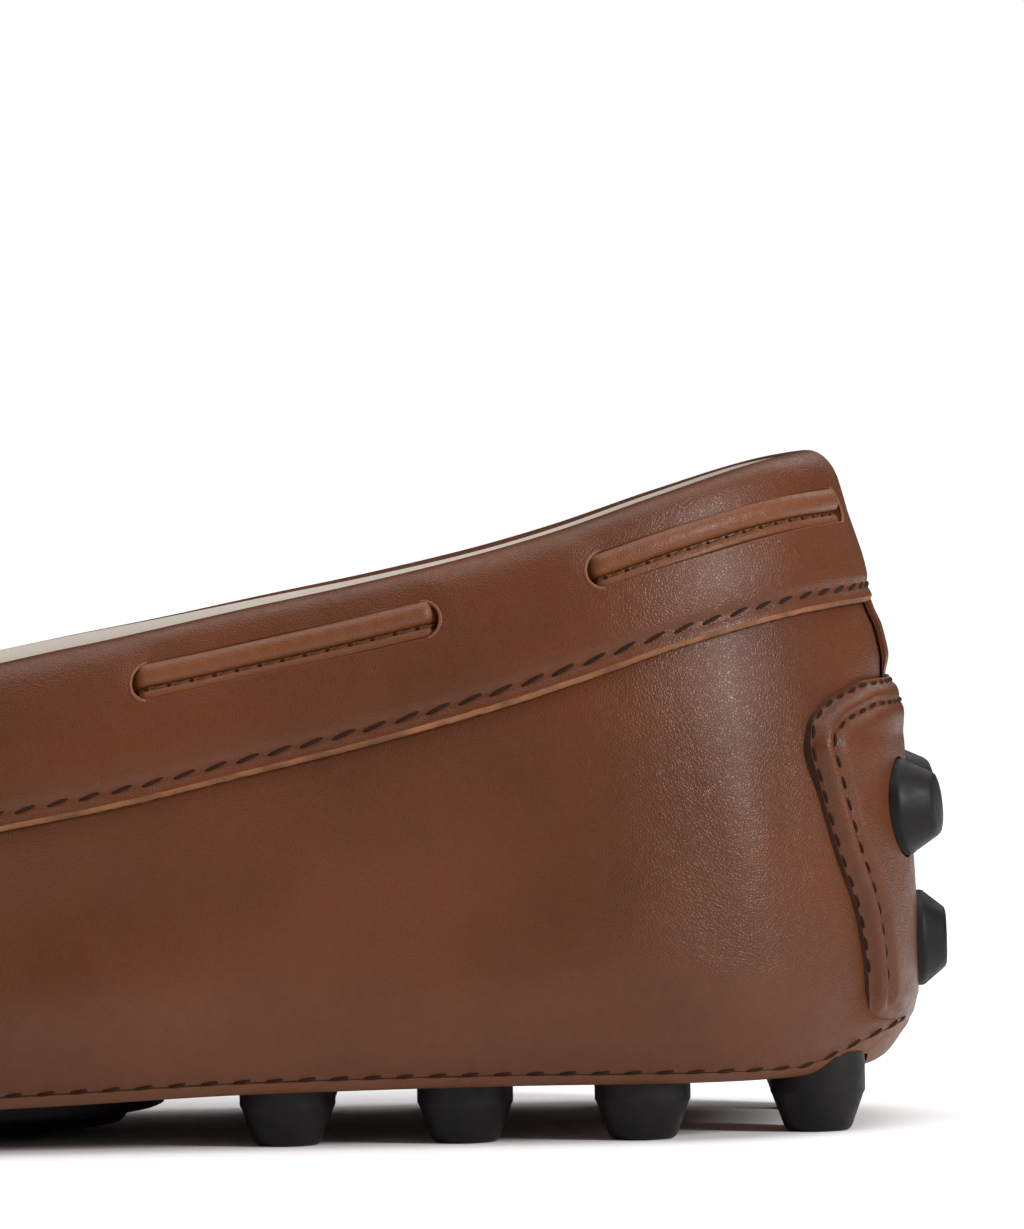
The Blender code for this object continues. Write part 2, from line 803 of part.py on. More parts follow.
def make_sole_panel():
    """The leather sole: flat beneath, turned up at its edge to the seam, with a hole for each stud."""
    bm = bmesh.new()
    rings = []
    normals = {}
    for level in range(3):
        ring = []
        for j in range(-COLUMNS + 1, COLUMNS + 1):
            g = j / COLUMNS
            q = (seam_q(g) - SEAM_GAP) * level / 2
            vert = bm.verts.new(wall(g, q))
            ring.append(vert)
            if level:
                normals[vert] = wall_normal(g, q)
        rings.append(ring)
    count = 2 * COLUMNS
    for low, high in zip(rings, rings[1:]):
        for i in range(count):
            j = (i + 1) % count
            bm.faces.new((low[i], low[j], high[j], high[i]))
    flat = rings[0]
    heel = COLUMNS - 1
    for k in range(COLUMNS):
        a, b = flat[heel - k], flat[heel + k]
        c, d = flat[heel + k + 1], flat[(heel - k - 1) % count]
        corners = [a] if a == b else [a, b]
        corners += [c] if c == d else [c, d]
        bm.faces.new(corners)
    bmesh.ops.recalc_face_normals(bm, faces=bm.faces)
    bm.normal_update()
    if sum(face.normal.z for face in bm.faces) > 0:
        bmesh.ops.reverse_faces(bm, faces=bm.faces)
    thicken(bm, lambda v: 0.0, lambda v: -PANEL_SHEET, normals)
    panel = new_object("sole_panel", bm, LEATHER)
    holes = joined([stud_shape(x, station, CLEAR, True) for x, station in stud_places()])
    boolean(panel, cutter("stud_holes", holes), "DIFFERENCE")
    window = pad_shape(((-CLEAR, -4.0), (-CLEAR, 4.0)))
    boolean(panel, cutter("pad_window", window), "DIFFERENCE")
    return panel


def stud_places(rows=STUD_ROWS):
    """(x, station) of each stud, spread over the flat of the sole."""
    places = []
    for pitches, count, inset in rows:
        station = FIRST_STUD + pitches * STUD_PITCH
        low, high = flat_limits(station, STUD_MARGIN + inset)
        for i in range(count):
            share = i / (count - 1)
            places.append((low + (high - low) * share, station))
    return places


def flat_limits(station, margin):
    """The x on each side that lies a margin inside the flat of the sole."""
    limits = []
    for side, column in ((-1, 2), (1, 1)):
        half = smooth(LAST, column, station) * rounding(station - WIDEST_START, HEEL_REACH, HEEL_POWER)
        toe_reach = TOE_REACH_OUTER if side > 0 else TOE_REACH_INNER
        half *= rounding(WIDEST_END - station, toe_reach, TOE_POWER)
        half -= smooth(LAST, 6, station) + margin
        limits.append(smooth(LAST, 3, station) + side * half)
    return limits


def stud_shape(x, station, grow, hole):
    """A sole stud with its foot on the floor, or clear of it under the raised toe, or its hole."""
    height = smooth(LAST, 4, station)
    stands = height < STUD_LENGTH + STUD_REACH
    slope = (smooth(LAST, 4, station + 1) - smooth(LAST, 4, station - 1)) / 2
    axis = Vector((0, 0 if stands else -slope, -1)).normalized()
    foot = height if stands else STUD_LENGTH
    top = -(PANEL_SHEET + CLEAR + PLATE_SHEET / 2)
    radius = STUD_RADIUS + grow
    if hole:
        profile = ((radius, -6.0), (radius, 4.0))
    else:
        profile = ((radius, top), (radius, foot - STUD_LENGTH + STUD_COLLAR), (STUD_TIP, foot))
    return turned(profile, STUD_SIDES, placed(x, station, height), axis)


def joined(shapes):
    """One bmesh from several."""
    whole = bmesh.new()
    for shape in shapes:
        mesh = bpy.data.meshes.new("joining")
        shape.to_mesh(mesh)
        shape.free()
        whole.from_mesh(mesh)
        bpy.data.meshes.remove(mesh)
    return whole


def make_studs(name, rows, limits):
    """A rubber plate above the leather sole, with the studs that pass down through it."""
    low = PANEL_SHEET + CLEAR
    plate = deck(name, plate_inset, *limits, low, low + PLATE_SHEET, RUBBER)
    studs = joined([stud_shape(x, station, 0.0, False) for x, station in stud_places(rows)])
    boolean(plate, cutter(name + "_shapes", studs), "UNION")
    return plate


def pad_shape(steps):
    """The waist's rubber pad: one outline stepped in and down."""
    sections = []
    sides = 24
    for inset, over in steps:
        section = []
        for i in range(sides):
            angle = 2 * math.pi * i / sides
            cos, sin = math.cos(angle), math.sin(angle)
            long = math.copysign(abs(cos) ** 0.75, cos) * (PAD_HALF_LENGTH - inset)
            wide = math.copysign(abs(sin) ** 0.75, sin) * (PAD_HALF_WIDTH - inset)
            station = PAD_STATION + long
            section.append(placed(PAD_CENTRE + wide, station, smooth(LAST, 4, station) + over))
        sections.append(section)
    return sweep(sections)


def make_tongue():
    """The tongue: it starts under the apron and stands free behind the throat."""
    rows = []
    count = 9
    for i in range(count + 1):
        share = i / count
        station = TONGUE_FRONT + (TONGUE_END - TONGUE_FRONT) * share
        half = TONGUE_HALF_FRONT + (TONGUE_HALF_END - TONGUE_HALF_FRONT) * share
        half *= rounding((1 - share) * (TONGUE_FRONT - TONGUE_END) + 1.0, 9.0, 2.4)
        row = []
        for k in range(7):
            w = k / 3 - 1
            row.append(tongue_point(station, half * w))
        rows.append(row)
    bm = grid_surface(rows)
    bmesh.ops.recalc_face_normals(bm, faces=bm.faces)
    bm.normal_update()
    if sum(face.normal.z for face in bm.faces) < 0:
        bmesh.ops.reverse_faces(bm, faces=bm.faces)
    thicken(bm, lambda v: 0.0, lambda v: -TONGUE_SHEET)
    return new_object("tongue", bm, LEATHER)


def tongue_point(station, x):
    """The tongue's upper side: under the apron's lining, then on along the same slope."""
    throat_station = top_edge(THROAT)[1]
    reach = min(1.0, max(0.0, (station - TOP_START) / (TOP_END - TOP_START)))
    g = 2 / math.pi * math.asin(math.sqrt(max(reach, travel(THROAT))))
    edge_x, edge_station, edge_z = top_edge(g)
    middle = smooth(LAST, 3, edge_station)
    w = x / (edge_x - middle)
    under = edge_z + APRON_CROWN * (1 - w * w) - (WALL + 2 * CLEAR + 0.3)
    beyond = max(0.0, throat_station - station)
    return placed(middle + x, station, under + 0.27 * beyond - 0.003 * beyond**2)


def main():
    make_upper()
    make_collar_band()
    make_lace()
    make_heel_patch()
    make_back_studs()
    make_backstay()
    make_tongue()
    make_sole_panel()
    make_studs("heel_studs", STUD_ROWS[:HEEL_ROWS], HEEL_PLATE)
    make_studs("forefoot_studs", STUD_ROWS[HEEL_ROWS:], FOREFOOT_PLATE)
    new_object("arch_pad", pad_shape(PAD_STEPS), RUBBER, 0.6)
    insole_low = PANEL_SHEET + CLEAR + PLATE_SHEET + CLEAR
    deck("insole", insole_inset, 0, 281, insole_low, insole_low + INSOLE_SHEET, LINING)


for old in list(bpy.data.objects):
    bpy.data.objects.remove(old)
shoe = bpy.data.collections.new("driving_moccasin")
cutters = bpy.data.collections.new("cutters")
bpy.context.scene.collection.children.link(shoe)
bpy.context.scene.collection.children.link(cutters)
cutters.hide_render = True
main()
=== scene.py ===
"""Looks for the driving moccasin: fine leather, lace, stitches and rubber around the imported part.

A place on the upper is given by g and q: g runs round the shoe, from 0 at the back of the heel to +1
at the toe along the outer side and to -1 along the inner side; q runs up the wall, from 0 at the flat
of the sole to 1 at the widest level and 2 at the top edge. Sizes are in millimetres up to the point
where a mesh is made.
"""

import bisect
import math
from functools import lru_cache

import bmesh
import bpy
from mathutils import Matrix, Vector, noise


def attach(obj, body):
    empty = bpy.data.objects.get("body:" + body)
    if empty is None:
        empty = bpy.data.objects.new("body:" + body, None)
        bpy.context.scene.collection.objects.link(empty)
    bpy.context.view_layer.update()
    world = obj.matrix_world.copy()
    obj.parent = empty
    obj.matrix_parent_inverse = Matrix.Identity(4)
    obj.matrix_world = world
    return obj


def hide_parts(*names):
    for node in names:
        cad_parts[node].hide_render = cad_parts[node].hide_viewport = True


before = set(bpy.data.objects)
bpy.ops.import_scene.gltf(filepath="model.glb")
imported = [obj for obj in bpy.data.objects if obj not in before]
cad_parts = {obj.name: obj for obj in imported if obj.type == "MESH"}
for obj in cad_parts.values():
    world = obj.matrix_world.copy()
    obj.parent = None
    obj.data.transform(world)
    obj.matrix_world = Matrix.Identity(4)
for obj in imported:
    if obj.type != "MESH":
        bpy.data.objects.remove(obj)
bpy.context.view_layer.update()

MM = 0.001

# The last: a row for each station, which is the distance from the back of the heel.
LAST = (
    # station, outer, inner, centre, sole height, rise to the widest level, tuck under the wall
    (0, 33.0, 32.0, 0.0, 6.6, 8.2, 3.4),
    (8, 33.0, 32.0, 0.0, 5.7, 9.6, 4.0),
    (18, 33.0, 32.0, 0.0, 5.4, 11.0, 4.8),
    (36, 33.0, 32.0, 0.0, 5.5, 12.0, 5.0),
    (62, 33.6, 30.6, 0.0, 5.2, 13.0, 5.2),
    (95, 35.6, 28.8, 0.0, 4.1, 13.5, 5.8),
    (130, 40.5, 31.5, 0.0, 4.3, 13.0, 6.4),
    (165, 46.5, 40.5, -0.4, 5.0, 12.5, 6.8),
    (190, 50.0, 46.0, -1.2, 5.0, 12.0, 7.2),
    (210, 50.2, 48.6, -2.2, 5.2, 12.0, 7.6),
    (240, 48.0, 48.0, -4.2, 7.0, 11.5, 8.2),
    (281, 46.0, 46.0, -7.0, 12.6, 10.0, 9.0),
)
WIDEST_START, WIDEST_END = 2.2, 281.0
HEEL_REACH, HEEL_POWER = 33.0, 2.35
TOE_REACH_OUTER, TOE_REACH_INNER, TOE_POWER = 78.0, 64.0, 2.15

# The top edge of the wall: the collar back to the throat, then the apron seam on to the toe.
TOP_EDGE = (
    # station, half width, height
    (9.6, 26.6, 65.3), (14.3, 26.6, 64.6), (25, 26.6, 61.8), (35, 26.8, 58.6), (43, 27.0, 56.4),
    (54, 27.6, 53.9), (64, 28.2, 51.9), (81, 29.4, 48.4), (100, 30.0, 45.2), (119, 29.2, 44.6),
    (135, 27.0, 48.0), (150, 23.6, 54.2), (164, 19.6, 60.6), (176, 24.0, 56.8), (192, 28.6, 51.6),
    (212, 31.6, 46.2), (236, 31.6, 41.0), (262, 31.0, 36.4),
)
TOP_START, TOP_END = 9.6, 262.0
COLLAR_REACH, COLLAR_POWER = 27.0, 2.1
APRON_REACH, APRON_POWER = 46.0, 2.1
APRON_CROWN = 4.0
TOE_FULLNESS = 0.8

THROAT = 16 / 28
WALL = 2.0
CLEAR = 0.3
HOLE_ROOM = 0.25
BAND_SETBACK = 1.5
BAND_END = THROAT - 0.008
BAND_WIDTHS = (
    # station, width down the wall
    (0, 15.9), (12, 15.3), (28, 15.0), (45, 15.6), (64, 16.4), (85, 16.9), (120, 16.4),
    (165, 15.4),
)
LACE_DEPTH = 5.6
SLOT_HEIGHT = 3.6
SLOTS = (
    # start and end along the lace, from the back of the heel
    (7.0, 41.5), (56.0, 86.0), (101.0, 131.0),
)
EYELET_ARC, EYELET_RADIUS = 154.0, 2.1
SWELL = (
    # height, how far out
    (37.5, 0.0), (41.0, 0.7), (43.2, 1.15), (45.5, 1.5), (47.8, 1.4), (49.6, 1.0), (50.8, 0.85),
    (52.6, 0.7), (55.5, 0.3), (59.0, 0.0),
)
SWELL_WIDTH, SWELL_FADE = 9.0, 16.0
HEEL_FILL = (
    # height, how far out
    (4.6, 0.0), (5.4, 0.5), (6.4, 1.0), (7.4, 1.2), (8.6, 1.45), (9.4, 1.75), (10.3, 1.85),
    (11.0, 1.45), (12.0, 0.75), (13.4, 0.0),
)
FILL_WIDTH, FILL_FADE = 13.0, 12.0
REAR_TIP = -2.9
HEEL_Y = (WIDEST_END + REAR_TIP) / 2
STEP = 0.002
DEPTH_STEPS, ARC_STEPS = 24, 400


def smooth(table, column, station):
    """The value of a column of a table at a station, on a smooth curve that never overshoots its rows."""
    stations, values, tangents = curve_of(table, column)
    if station <= stations[0]:
        return values[0]
    if station >= stations[-1]:
        return values[-1]
    i = bisect.bisect_right(stations, station) - 1
    h = stations[i + 1] - stations[i]
    t = (station - stations[i]) / h
    return (
        values[i] * (1 + 2 * t) * (1 - t) ** 2
        + tangents[i] * h * t * (1 - t) ** 2
        + values[i + 1] * t * t * (3 - 2 * t)
        + tangents[i + 1] * h * t * t * (t - 1)
    )


@lru_cache(maxsize=None)
def curve_of(table, column):
    """(stations, values, tangents) of a column of a table."""
    stations = [row[0] for row in table]
    values = [row[column] for row in table]
    steps = [b - a for a, b in zip(stations, stations[1:])]
    slopes = [(b - a) / h for a, b, h in zip(values, values[1:], steps)]
    tangents = [slopes[0]]
    for before, after in zip(slopes, slopes[1:]):
        tangents.append(2 * before * after / (before + after) if before * after > 0 else 0.0)
    tangents.append(slopes[-1])
    return stations, values, tangents


def sole_height(station):
    """The height of the sole's flat underside."""
    return smooth(LAST, 4, station)


def ease(value):
    """0 below 0, 1 above 1 and a smooth step between."""
    t = min(1.0, max(0.0, value))
    return t * t * (3 - 2 * t)


def bump(distance, width):
    """1 at no distance, falling smoothly to nothing at the width."""
    return ease(1 - abs(distance) / width)


def rounding(distance, reach, power):
    """How much of the full width an outline has at a distance from its round end."""
    left = 1 - min(1.0, max(0.0, distance) / reach)
    return (1 - left**power) ** (1 / power)


def circle(count):
    """(cos, sin) at even steps round a full turn."""
    angles = [2 * math.pi * i / count for i in range(count)]
    return [(math.cos(angle), math.sin(angle)) for angle in angles]


def spaced(first, last, count):
    """Evenly spaced values from one to another, both with them."""
    return [first + (last - first) * i / count for i in range(count + 1)]


def wrapped(g):
    return (g + 1) % 2 - 1


def travel(g):
    return math.sin(math.pi * abs(g) / 2) ** 2


def g_of(station):
    """The g whose widest level lies at a station."""
    share = (station - WIDEST_START) / (WIDEST_END - WIDEST_START)
    return 2 / math.pi * math.asin(math.sqrt(min(1.0, max(0.0, share))))


def placed(x, station, z):
    return Vector((x - WIDTH_MID, HEEL_Y - station, z))


def half_width(station, outer):
    """Half the last's width at its widest level, on one side."""
    half = smooth(LAST, 1 if outer else 2, station)
    half *= rounding(station - WIDEST_START, HEEL_REACH, HEEL_POWER)
    toe_reach = TOE_REACH_OUTER if outer else TOE_REACH_INNER
    return half * rounding(WIDEST_END - station, toe_reach, TOE_POWER)


@lru_cache(maxsize=None)
def widest(g):
    """(x, station) of the wall's widest level."""
    g = wrapped(g)
    station = WIDEST_START + (WIDEST_END - WIDEST_START) * travel(g)
    half = half_width(station, g >= 0)
    return smooth(LAST, 3, station) + (half if g >= 0 else -half), station


@lru_cache(maxsize=None)
def top_edge(g):
    """(x, station, height) of the wall's top edge: the collar, then the apron seam."""
    g = wrapped(g)
    station = TOP_START + (TOP_END - TOP_START) * travel(g)
    half = smooth(TOP_EDGE, 1, station)
    half *= rounding(station - TOP_START, COLLAR_REACH, COLLAR_POWER)
    half *= rounding(TOP_END - station, APRON_REACH, APRON_POWER)
    return smooth(LAST, 3, station) + math.copysign(half, g), station, smooth(TOP_EDGE, 2, station)


@lru_cache(maxsize=None)
def rib(g):
    """What wall() needs at g: the widest place, the way out, the sole's sizes and the top edge."""
    x, station = widest(g)
    x0, s0 = widest(g - STEP)
    x1, s1 = widest(g + STEP)
    length = math.hypot(x1 - x0, s1 - s0)
    out = (s1 - s0) / length, -(x1 - x0) / length
    sole = [smooth(LAST, column, station) for column in (4, 5, 6)]
    full = TOE_FULLNESS * ease((abs(wrapped(g)) - 0.55) / 0.4)
    return x, station, out, sole, full, top_edge(g)


def wall(g, q):
    """A point on the outer surface of the upper or of the tuck beneath it."""
    x, station, (ox, os), (low, rise, tuck), full, top = rib(g)
    if q <= 1:
        angle = q * math.pi / 2
        out = -tuck * (1 - math.sin(angle))
        low = sole_height(station + os * out)
        return placed(x + ox * out, station + os * out, low + rise * (1 - math.cos(angle)))
    t = q - 1
    top_x, top_station, top_z = top
    height = low + rise
    into = t * t + full * (1 - math.cos(t * math.pi / 2) - t * t)
    up = t + full * (math.sin(t * math.pi / 2) - t)
    x, station = x + (top_x - x) * into, station + (top_station - station) * into
    return placed(x, station, height + (top_z - height) * up)


def wall_normal(g, q):
    """The unit normal of wall(g, q), pointing out of the shoe."""
    low, high = max(0.0, q - STEP), min(2.0, q + STEP)
    along = wall(g + STEP, q) - wall(g - STEP, q)
    up = wall(g, high) - wall(g, low)
    return up.cross(along).normalized()


@lru_cache(maxsize=None)
def depths_down(g):
    """Distances down the wall from the top edge, for q from 2 down to 1 in even steps."""
    places = [wall(g, 2.0 - i / DEPTH_STEPS) for i in range(DEPTH_STEPS + 1)]
    depths = [0.0]
    for a, b in zip(places, places[1:]):
        depths.append(depths[-1] + (b - a).length)
    return depths


def at_depth(g, depth):
    """The q of the place that lies a distance down the wall from its top edge."""
    depths = depths_down(g)
    if depth >= depths[-1]:
        return 1.0
    i = max(0, bisect.bisect_right(depths, depth) - 1)
    return 2.0 - (i + (depth - depths[i]) / (depths[i + 1] - depths[i])) / DEPTH_STEPS


def depth_at(g, q):
    """The distance down the wall from the top edge to q, which is 1 or more."""
    depths = depths_down(g)
    place = (2.0 - q) * DEPTH_STEPS
    i = min(DEPTH_STEPS - 1, int(place))
    return depths[i] + (depths[i + 1] - depths[i]) * (place - i)


def at_height(g, z):
    """The q of the place on the wall at a height."""
    low, high = 0.0, 2.0
    for _ in range(22):
        middle = (low + high) / 2
        if wall(g, middle).z < z:
            low = middle
        else:
            high = middle
    return low


def arc_table(q_of_g):
    """Lengths along a line on the wall from the back of the heel, for evenly spaced g."""
    lengths = [0.0]
    before = wall(0.0, q_of_g(0.0))
    for i in range(1, ARC_STEPS + 1):
        here = wall(i / ARC_STEPS, q_of_g(i / ARC_STEPS))
        lengths.append(lengths[-1] + (here - before).length)
        before = here
    return lengths


def g_at(lengths, arc):
    """The g at a signed length along the line of an arc table."""
    i = min(len(lengths) - 2, bisect.bisect_right(lengths, abs(arc)) - 1)
    share = (abs(arc) - lengths[i]) / (lengths[i + 1] - lengths[i])
    return math.copysign((i + share) / (len(lengths) - 1), arc)


def band_g(arc):
    """The g at a signed length along the line of the slots."""
    return g_at(LACE_LENGTHS, arc)


def collar_share(g):
    """1 along the collar band and 0 from the throat to the toe."""
    return 1 - ease((abs(wrapped(g)) - BAND_END) / (THROAT - BAND_END))


def heel_arc(g):
    """The signed length along the wall's widest level, from the back of the heel to g."""
    place = min(ARC_STEPS - 1.0, abs(wrapped(g)) * ARC_STEPS)
    i = int(place)
    return math.copysign(HEEL_LENGTHS[i] + (HEEL_LENGTHS[i + 1] - HEEL_LENGTHS[i]) * (place - i), g)


def heel_fill(g, z):
    """The extra fullness of the heel just above the sole, straight out of the shoe."""
    if abs(g) > 0.3:
        return Vector((0, 0, 0))
    arc = abs(heel_arc(g))
    amount = smooth(HEEL_FILL, 1, z) * (1 - ease((arc - FILL_WIDTH) / FILL_FADE))
    ox, os = rib(g)[2]
    return Vector((ox, -os, 0)) * amount


def band_width(g):
    return smooth(BAND_WIDTHS, 1, top_edge(g)[1])


def setback(g, depth):
    """How far the wall stands in beneath the collar band, to lie flush along the band's lower edge."""
    return -BAND_SETBACK * collar_share(g) * (1 - ease((depth - band_width(g) + 3.2) / 3.0))


def swell(arc, z):
    """How far the leather puffs out at the back of the heel, between the band and the patch."""
    return smooth(SWELL, 1, z) * (1 - ease((abs(arc) - SWELL_WIDTH) / SWELL_FADE))


def band_place(g, n, depth):
    """The point at n out from the wall and a depth below the top edge, on the collar."""
    q = at_depth(g, max(0.0, depth))
    base = wall(g, q)
    over = Vector((0, 0, max(0.0, -depth)))
    return base + over + wall_normal(g, q) * (n + swell(heel_arc(g), base.z))


def mid_width():
    xs = [widest(i / 200)[0] for i in range(-200, 200)]
    return (max(xs) + min(xs)) / 2


WIDTH_MID = mid_width()
LACE_LENGTHS = arc_table(lambda g: at_depth(g, LACE_DEPTH))
HEEL_LENGTHS = arc_table(lambda g: 1.0)


# Meshes.

EDGE_SLOT = 2


def new_object(name, data):
    obj = bpy.data.objects.new(name, data)
    bpy.context.scene.collection.objects.link(obj)
    return obj


def new_mesh(name, points, faces, materials):
    """A mesh from points in millimetres."""
    mesh = bpy.data.meshes.new(name)
    mesh.from_pydata([tuple(c * MM for c in point) for point in points], [], faces)
    for made in materials:
        mesh.materials.append(made)
    return mesh


def shell(name, shape, materials):
    """A smooth piece from points, faces and perhaps their material slots, riding on the part."""
    points, faces, *slots = shape
    mesh = new_mesh(name, points, faces, materials)
    if slots:
        mesh.polygons.foreach_set("material_index", slots[0])
    mesh.shade_smooth()
    obj = new_object(name, mesh)
    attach(obj, "root")
    return obj


def turn_out(mesh, triangles=False):
    """Turns a closed mesh's faces outwards, as triangles if asked."""
    turning = bmesh.new()
    turning.from_mesh(mesh)
    bmesh.ops.recalc_face_normals(turning, faces=turning.faces)
    if triangles:
        bmesh.ops.triangulate(turning, faces=turning.faces)
    turning.to_mesh(mesh)
    turning.free()


def grid_faces(rows, columns, around=False, flip=False):
    """Faces between rows of points; around joins each row's last point to its first."""
    faces = []
    last = columns if around else columns - 1
    for r in range(rows - 1):
        for c in range(last):
            a, b = r * columns + c, r * columns + (c + 1) % columns
            face = (a, b, b + columns, a + columns)
            faces.append(face[::-1] if flip else face)
    return faces


def tube_faces(sections, columns):
    """The faces of a swept tube with its two ends closed."""
    ends = [tuple(range(columns))[::-1], tuple(range((sections - 1) * columns, sections * columns))]
    return grid_faces(sections, columns, around=True) + ends


def turned_points(profile, sides, place, axis):
    """Points and faces of a closed turned shape: profile rows are (radius, height) along the axis."""
    turn = axis.to_track_quat("Z", "Y").to_matrix()
    points = []
    for radius, height in profile:
        for cos, sin in circle(sides):
            points.append(place + turn @ Vector((radius * cos, radius * sin, height)))
    return points, tube_faces(len(profile), sides)


def gather(shapes):
    """One list of points and one of faces from several pairs."""
    points, faces = [], []
    for more_points, more_faces in shapes:
        start = len(points)
        points += more_points
        faces += [tuple(i + start for i in face) for face in more_faces]
    return points, faces


def cut_from(obj, shapes, slot=0):
    """Cuts closed shapes out of a piece; the cut's faces take the piece's material of that slot."""
    turn_out(obj.data, triangles=True)
    mesh = new_mesh(obj.name + "_cut", *gather(shapes), obj.data.materials)
    mesh.polygons.foreach_set("material_index", [slot] * len(mesh.polygons))
    turn_out(mesh, triangles=True)
    tool = new_object(obj.name + "_tool", mesh)
    modifier = obj.modifiers.new("cut", "BOOLEAN")
    modifier.object = tool
    modifier.operation = "DIFFERENCE"
    modifier.solver = "MANIFOLD"
    depsgraph = bpy.context.evaluated_depsgraph_get()
    made = bpy.data.meshes.new_from_object(obj.evaluated_get(depsgraph))
    obj.modifiers.clear()
    obj.data = made
    bpy.data.objects.remove(tool)


def soften(obj, degrees):
    """Smooth shading, but for edges sharper than an angle."""
    obj.data.shade_smooth()
    obj.data.set_sharp_from_angle(angle=math.radians(degrees))


def piece(node, shape, cuts=(), cut_slot=0, turned=False):
    """The fine piece that stands in the place of a node."""
    materials, degrees = PIECES[node]
    obj = shell("fine_" + node, shape, materials)
    if cuts:
        cut_from(obj, cuts, cut_slot)
    if turned:
        turn_out(obj.data)
    soften(obj, degrees)
    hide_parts(node)


# Stitches.


def stitch(place, along, out, length, width):
    """Points and faces of one stitch: a small bead that dips into the leather at both ends."""
    side = along.cross(out).normalized()
    points, sections = [], 7
    for i in range(sections):
        t = 2 * i / (sections - 1) - 1
        thick = width / 2 * math.sqrt(max(0.0, 1 - abs(t) ** 3)) + 0.02
        centre = place + along * (t * length / 2) + out * (0.04 - 0.2 * t * t)
        for cos, sin in circle(8):
            points.append(centre + side * (thick * cos) + out * (thick * sin))
    return points, tube_faces(sections, 8)


STITCHES = {
    # name: pitch, length, width, slant
    "band_stitches": (3.1, 3.0, 0.31, 0.19),
    "lining_stitches": (3.0, 2.2, 0.5, 0.0),
    "lace_stitches": (2.2, 1.6, 0.24, 0.2),
    # Short dark beads between the lace stitches: painted shade of the needle holes.
    "lace_hole_shade": (2.2, 0.55, 0.3, 0.0),
    "patch_stitches_0": (2.2, 1.8, 0.32, 0.1),
    "patch_stitches_1": (2.2, 1.8, 0.32, 0.1),
    "sole_stitches": (3.1, 2.1, 0.3, 0.14),
    "apron_stitches": (3.5, 3.0, 0.75, 0.0),
}
BAND_STITCH, LACE_STITCH = STITCHES["band_stitches"][0], STITCHES["lace_stitches"][0]


def stitch_line(name, path, thread):
    """A row of stitches along a path of (place, normal) pairs, each turned by its slant."""
    pitch, length, width, slant = STITCHES[name]
    shapes = []
    run, due = 0.0, pitch / 2
    for (a, out), (b, _) in zip(path, path[1:]):
        step = (b - a).length
        while step > 0 and run + step >= due:
            along = Matrix.Rotation(slant, 3, out) @ (b - a).normalized()
            shapes.append(stitch(a.lerp(b, (due - run) / step), along, out, length, width))
            due += pitch
        run += step
    shell(name, gather(shapes), [thread])


# Materials.


def set_inputs(node, **values):
    """Sets a node's own inputs by name."""
    for key, value in values.items():
        node.inputs[key.replace("_", " ")].default_value = value
    return node


class Look:
    """A material with its nodes and its surface shader; its methods add nodes and give their outputs."""

    def __init__(self, name):
        self.material = bpy.data.materials.new(name)
        self.material.use_nodes = True
        self.nodes = self.material.node_tree.nodes
        self.shader = self.nodes["Principled BSDF"]

    def link(self, start, end):
        """Links an output to an input, which may be one of the shader's by its name."""
        end = self.shader.inputs[end] if isinstance(end, str) else end
        self.material.node_tree.links.new(start, end)

    def place(self):
        """The place on the piece."""
        return self.nodes.new("ShaderNodeTexCoord").outputs["Object"]

    def add(self, kind, **values):
        """A node with its inputs set by name."""
        return set_inputs(self.nodes.new(kind), **values)

    def mix(self, kind, **settings):
        node = self.nodes.new("ShaderNodeMix")
        node.data_type = kind
        for key, value in settings.items():
            setattr(node, key, value)
        return node

    def mixed(self, factor, first, second):
        """A colour between two others."""
        node = self.mix("RGBA")
        node.inputs[6].default_value = (*first, 1)
        node.inputs[7].default_value = (*second, 1)
        self.link(factor, node.inputs[0])
        return node.outputs[2]

    def ranged(self, value, low, high, to_low=0.0, to_high=1.0):
        node = self.add("ShaderNodeMapRange", From_Min=low, From_Max=high, To_Min=to_low, To_Max=to_high)
        self.link(value, node.inputs["Value"])
        return node.outputs["Result"]

    def noise(self, scale, detail=3.0, roughness=0.5, distortion=0.0, output="Fac"):
        settings = dict(Scale=scale, Detail=detail, Roughness=roughness, Distortion=distortion)
        node = self.add("ShaderNodeTexNoise", **settings)
        self.link(self.place(), node.inputs["Vector"])
        return node.outputs[output]

    def bump(self, height, strength, distance, before=None):
        """A bump over an earlier one; the distance is in metres."""
        node = self.add("ShaderNodeBump", Strength=strength, Distance=distance)
        self.link(height, node.inputs["Height"])
        if before:
            self.link(before, node.inputs["Normal"])
        return node.outputs["Normal"]


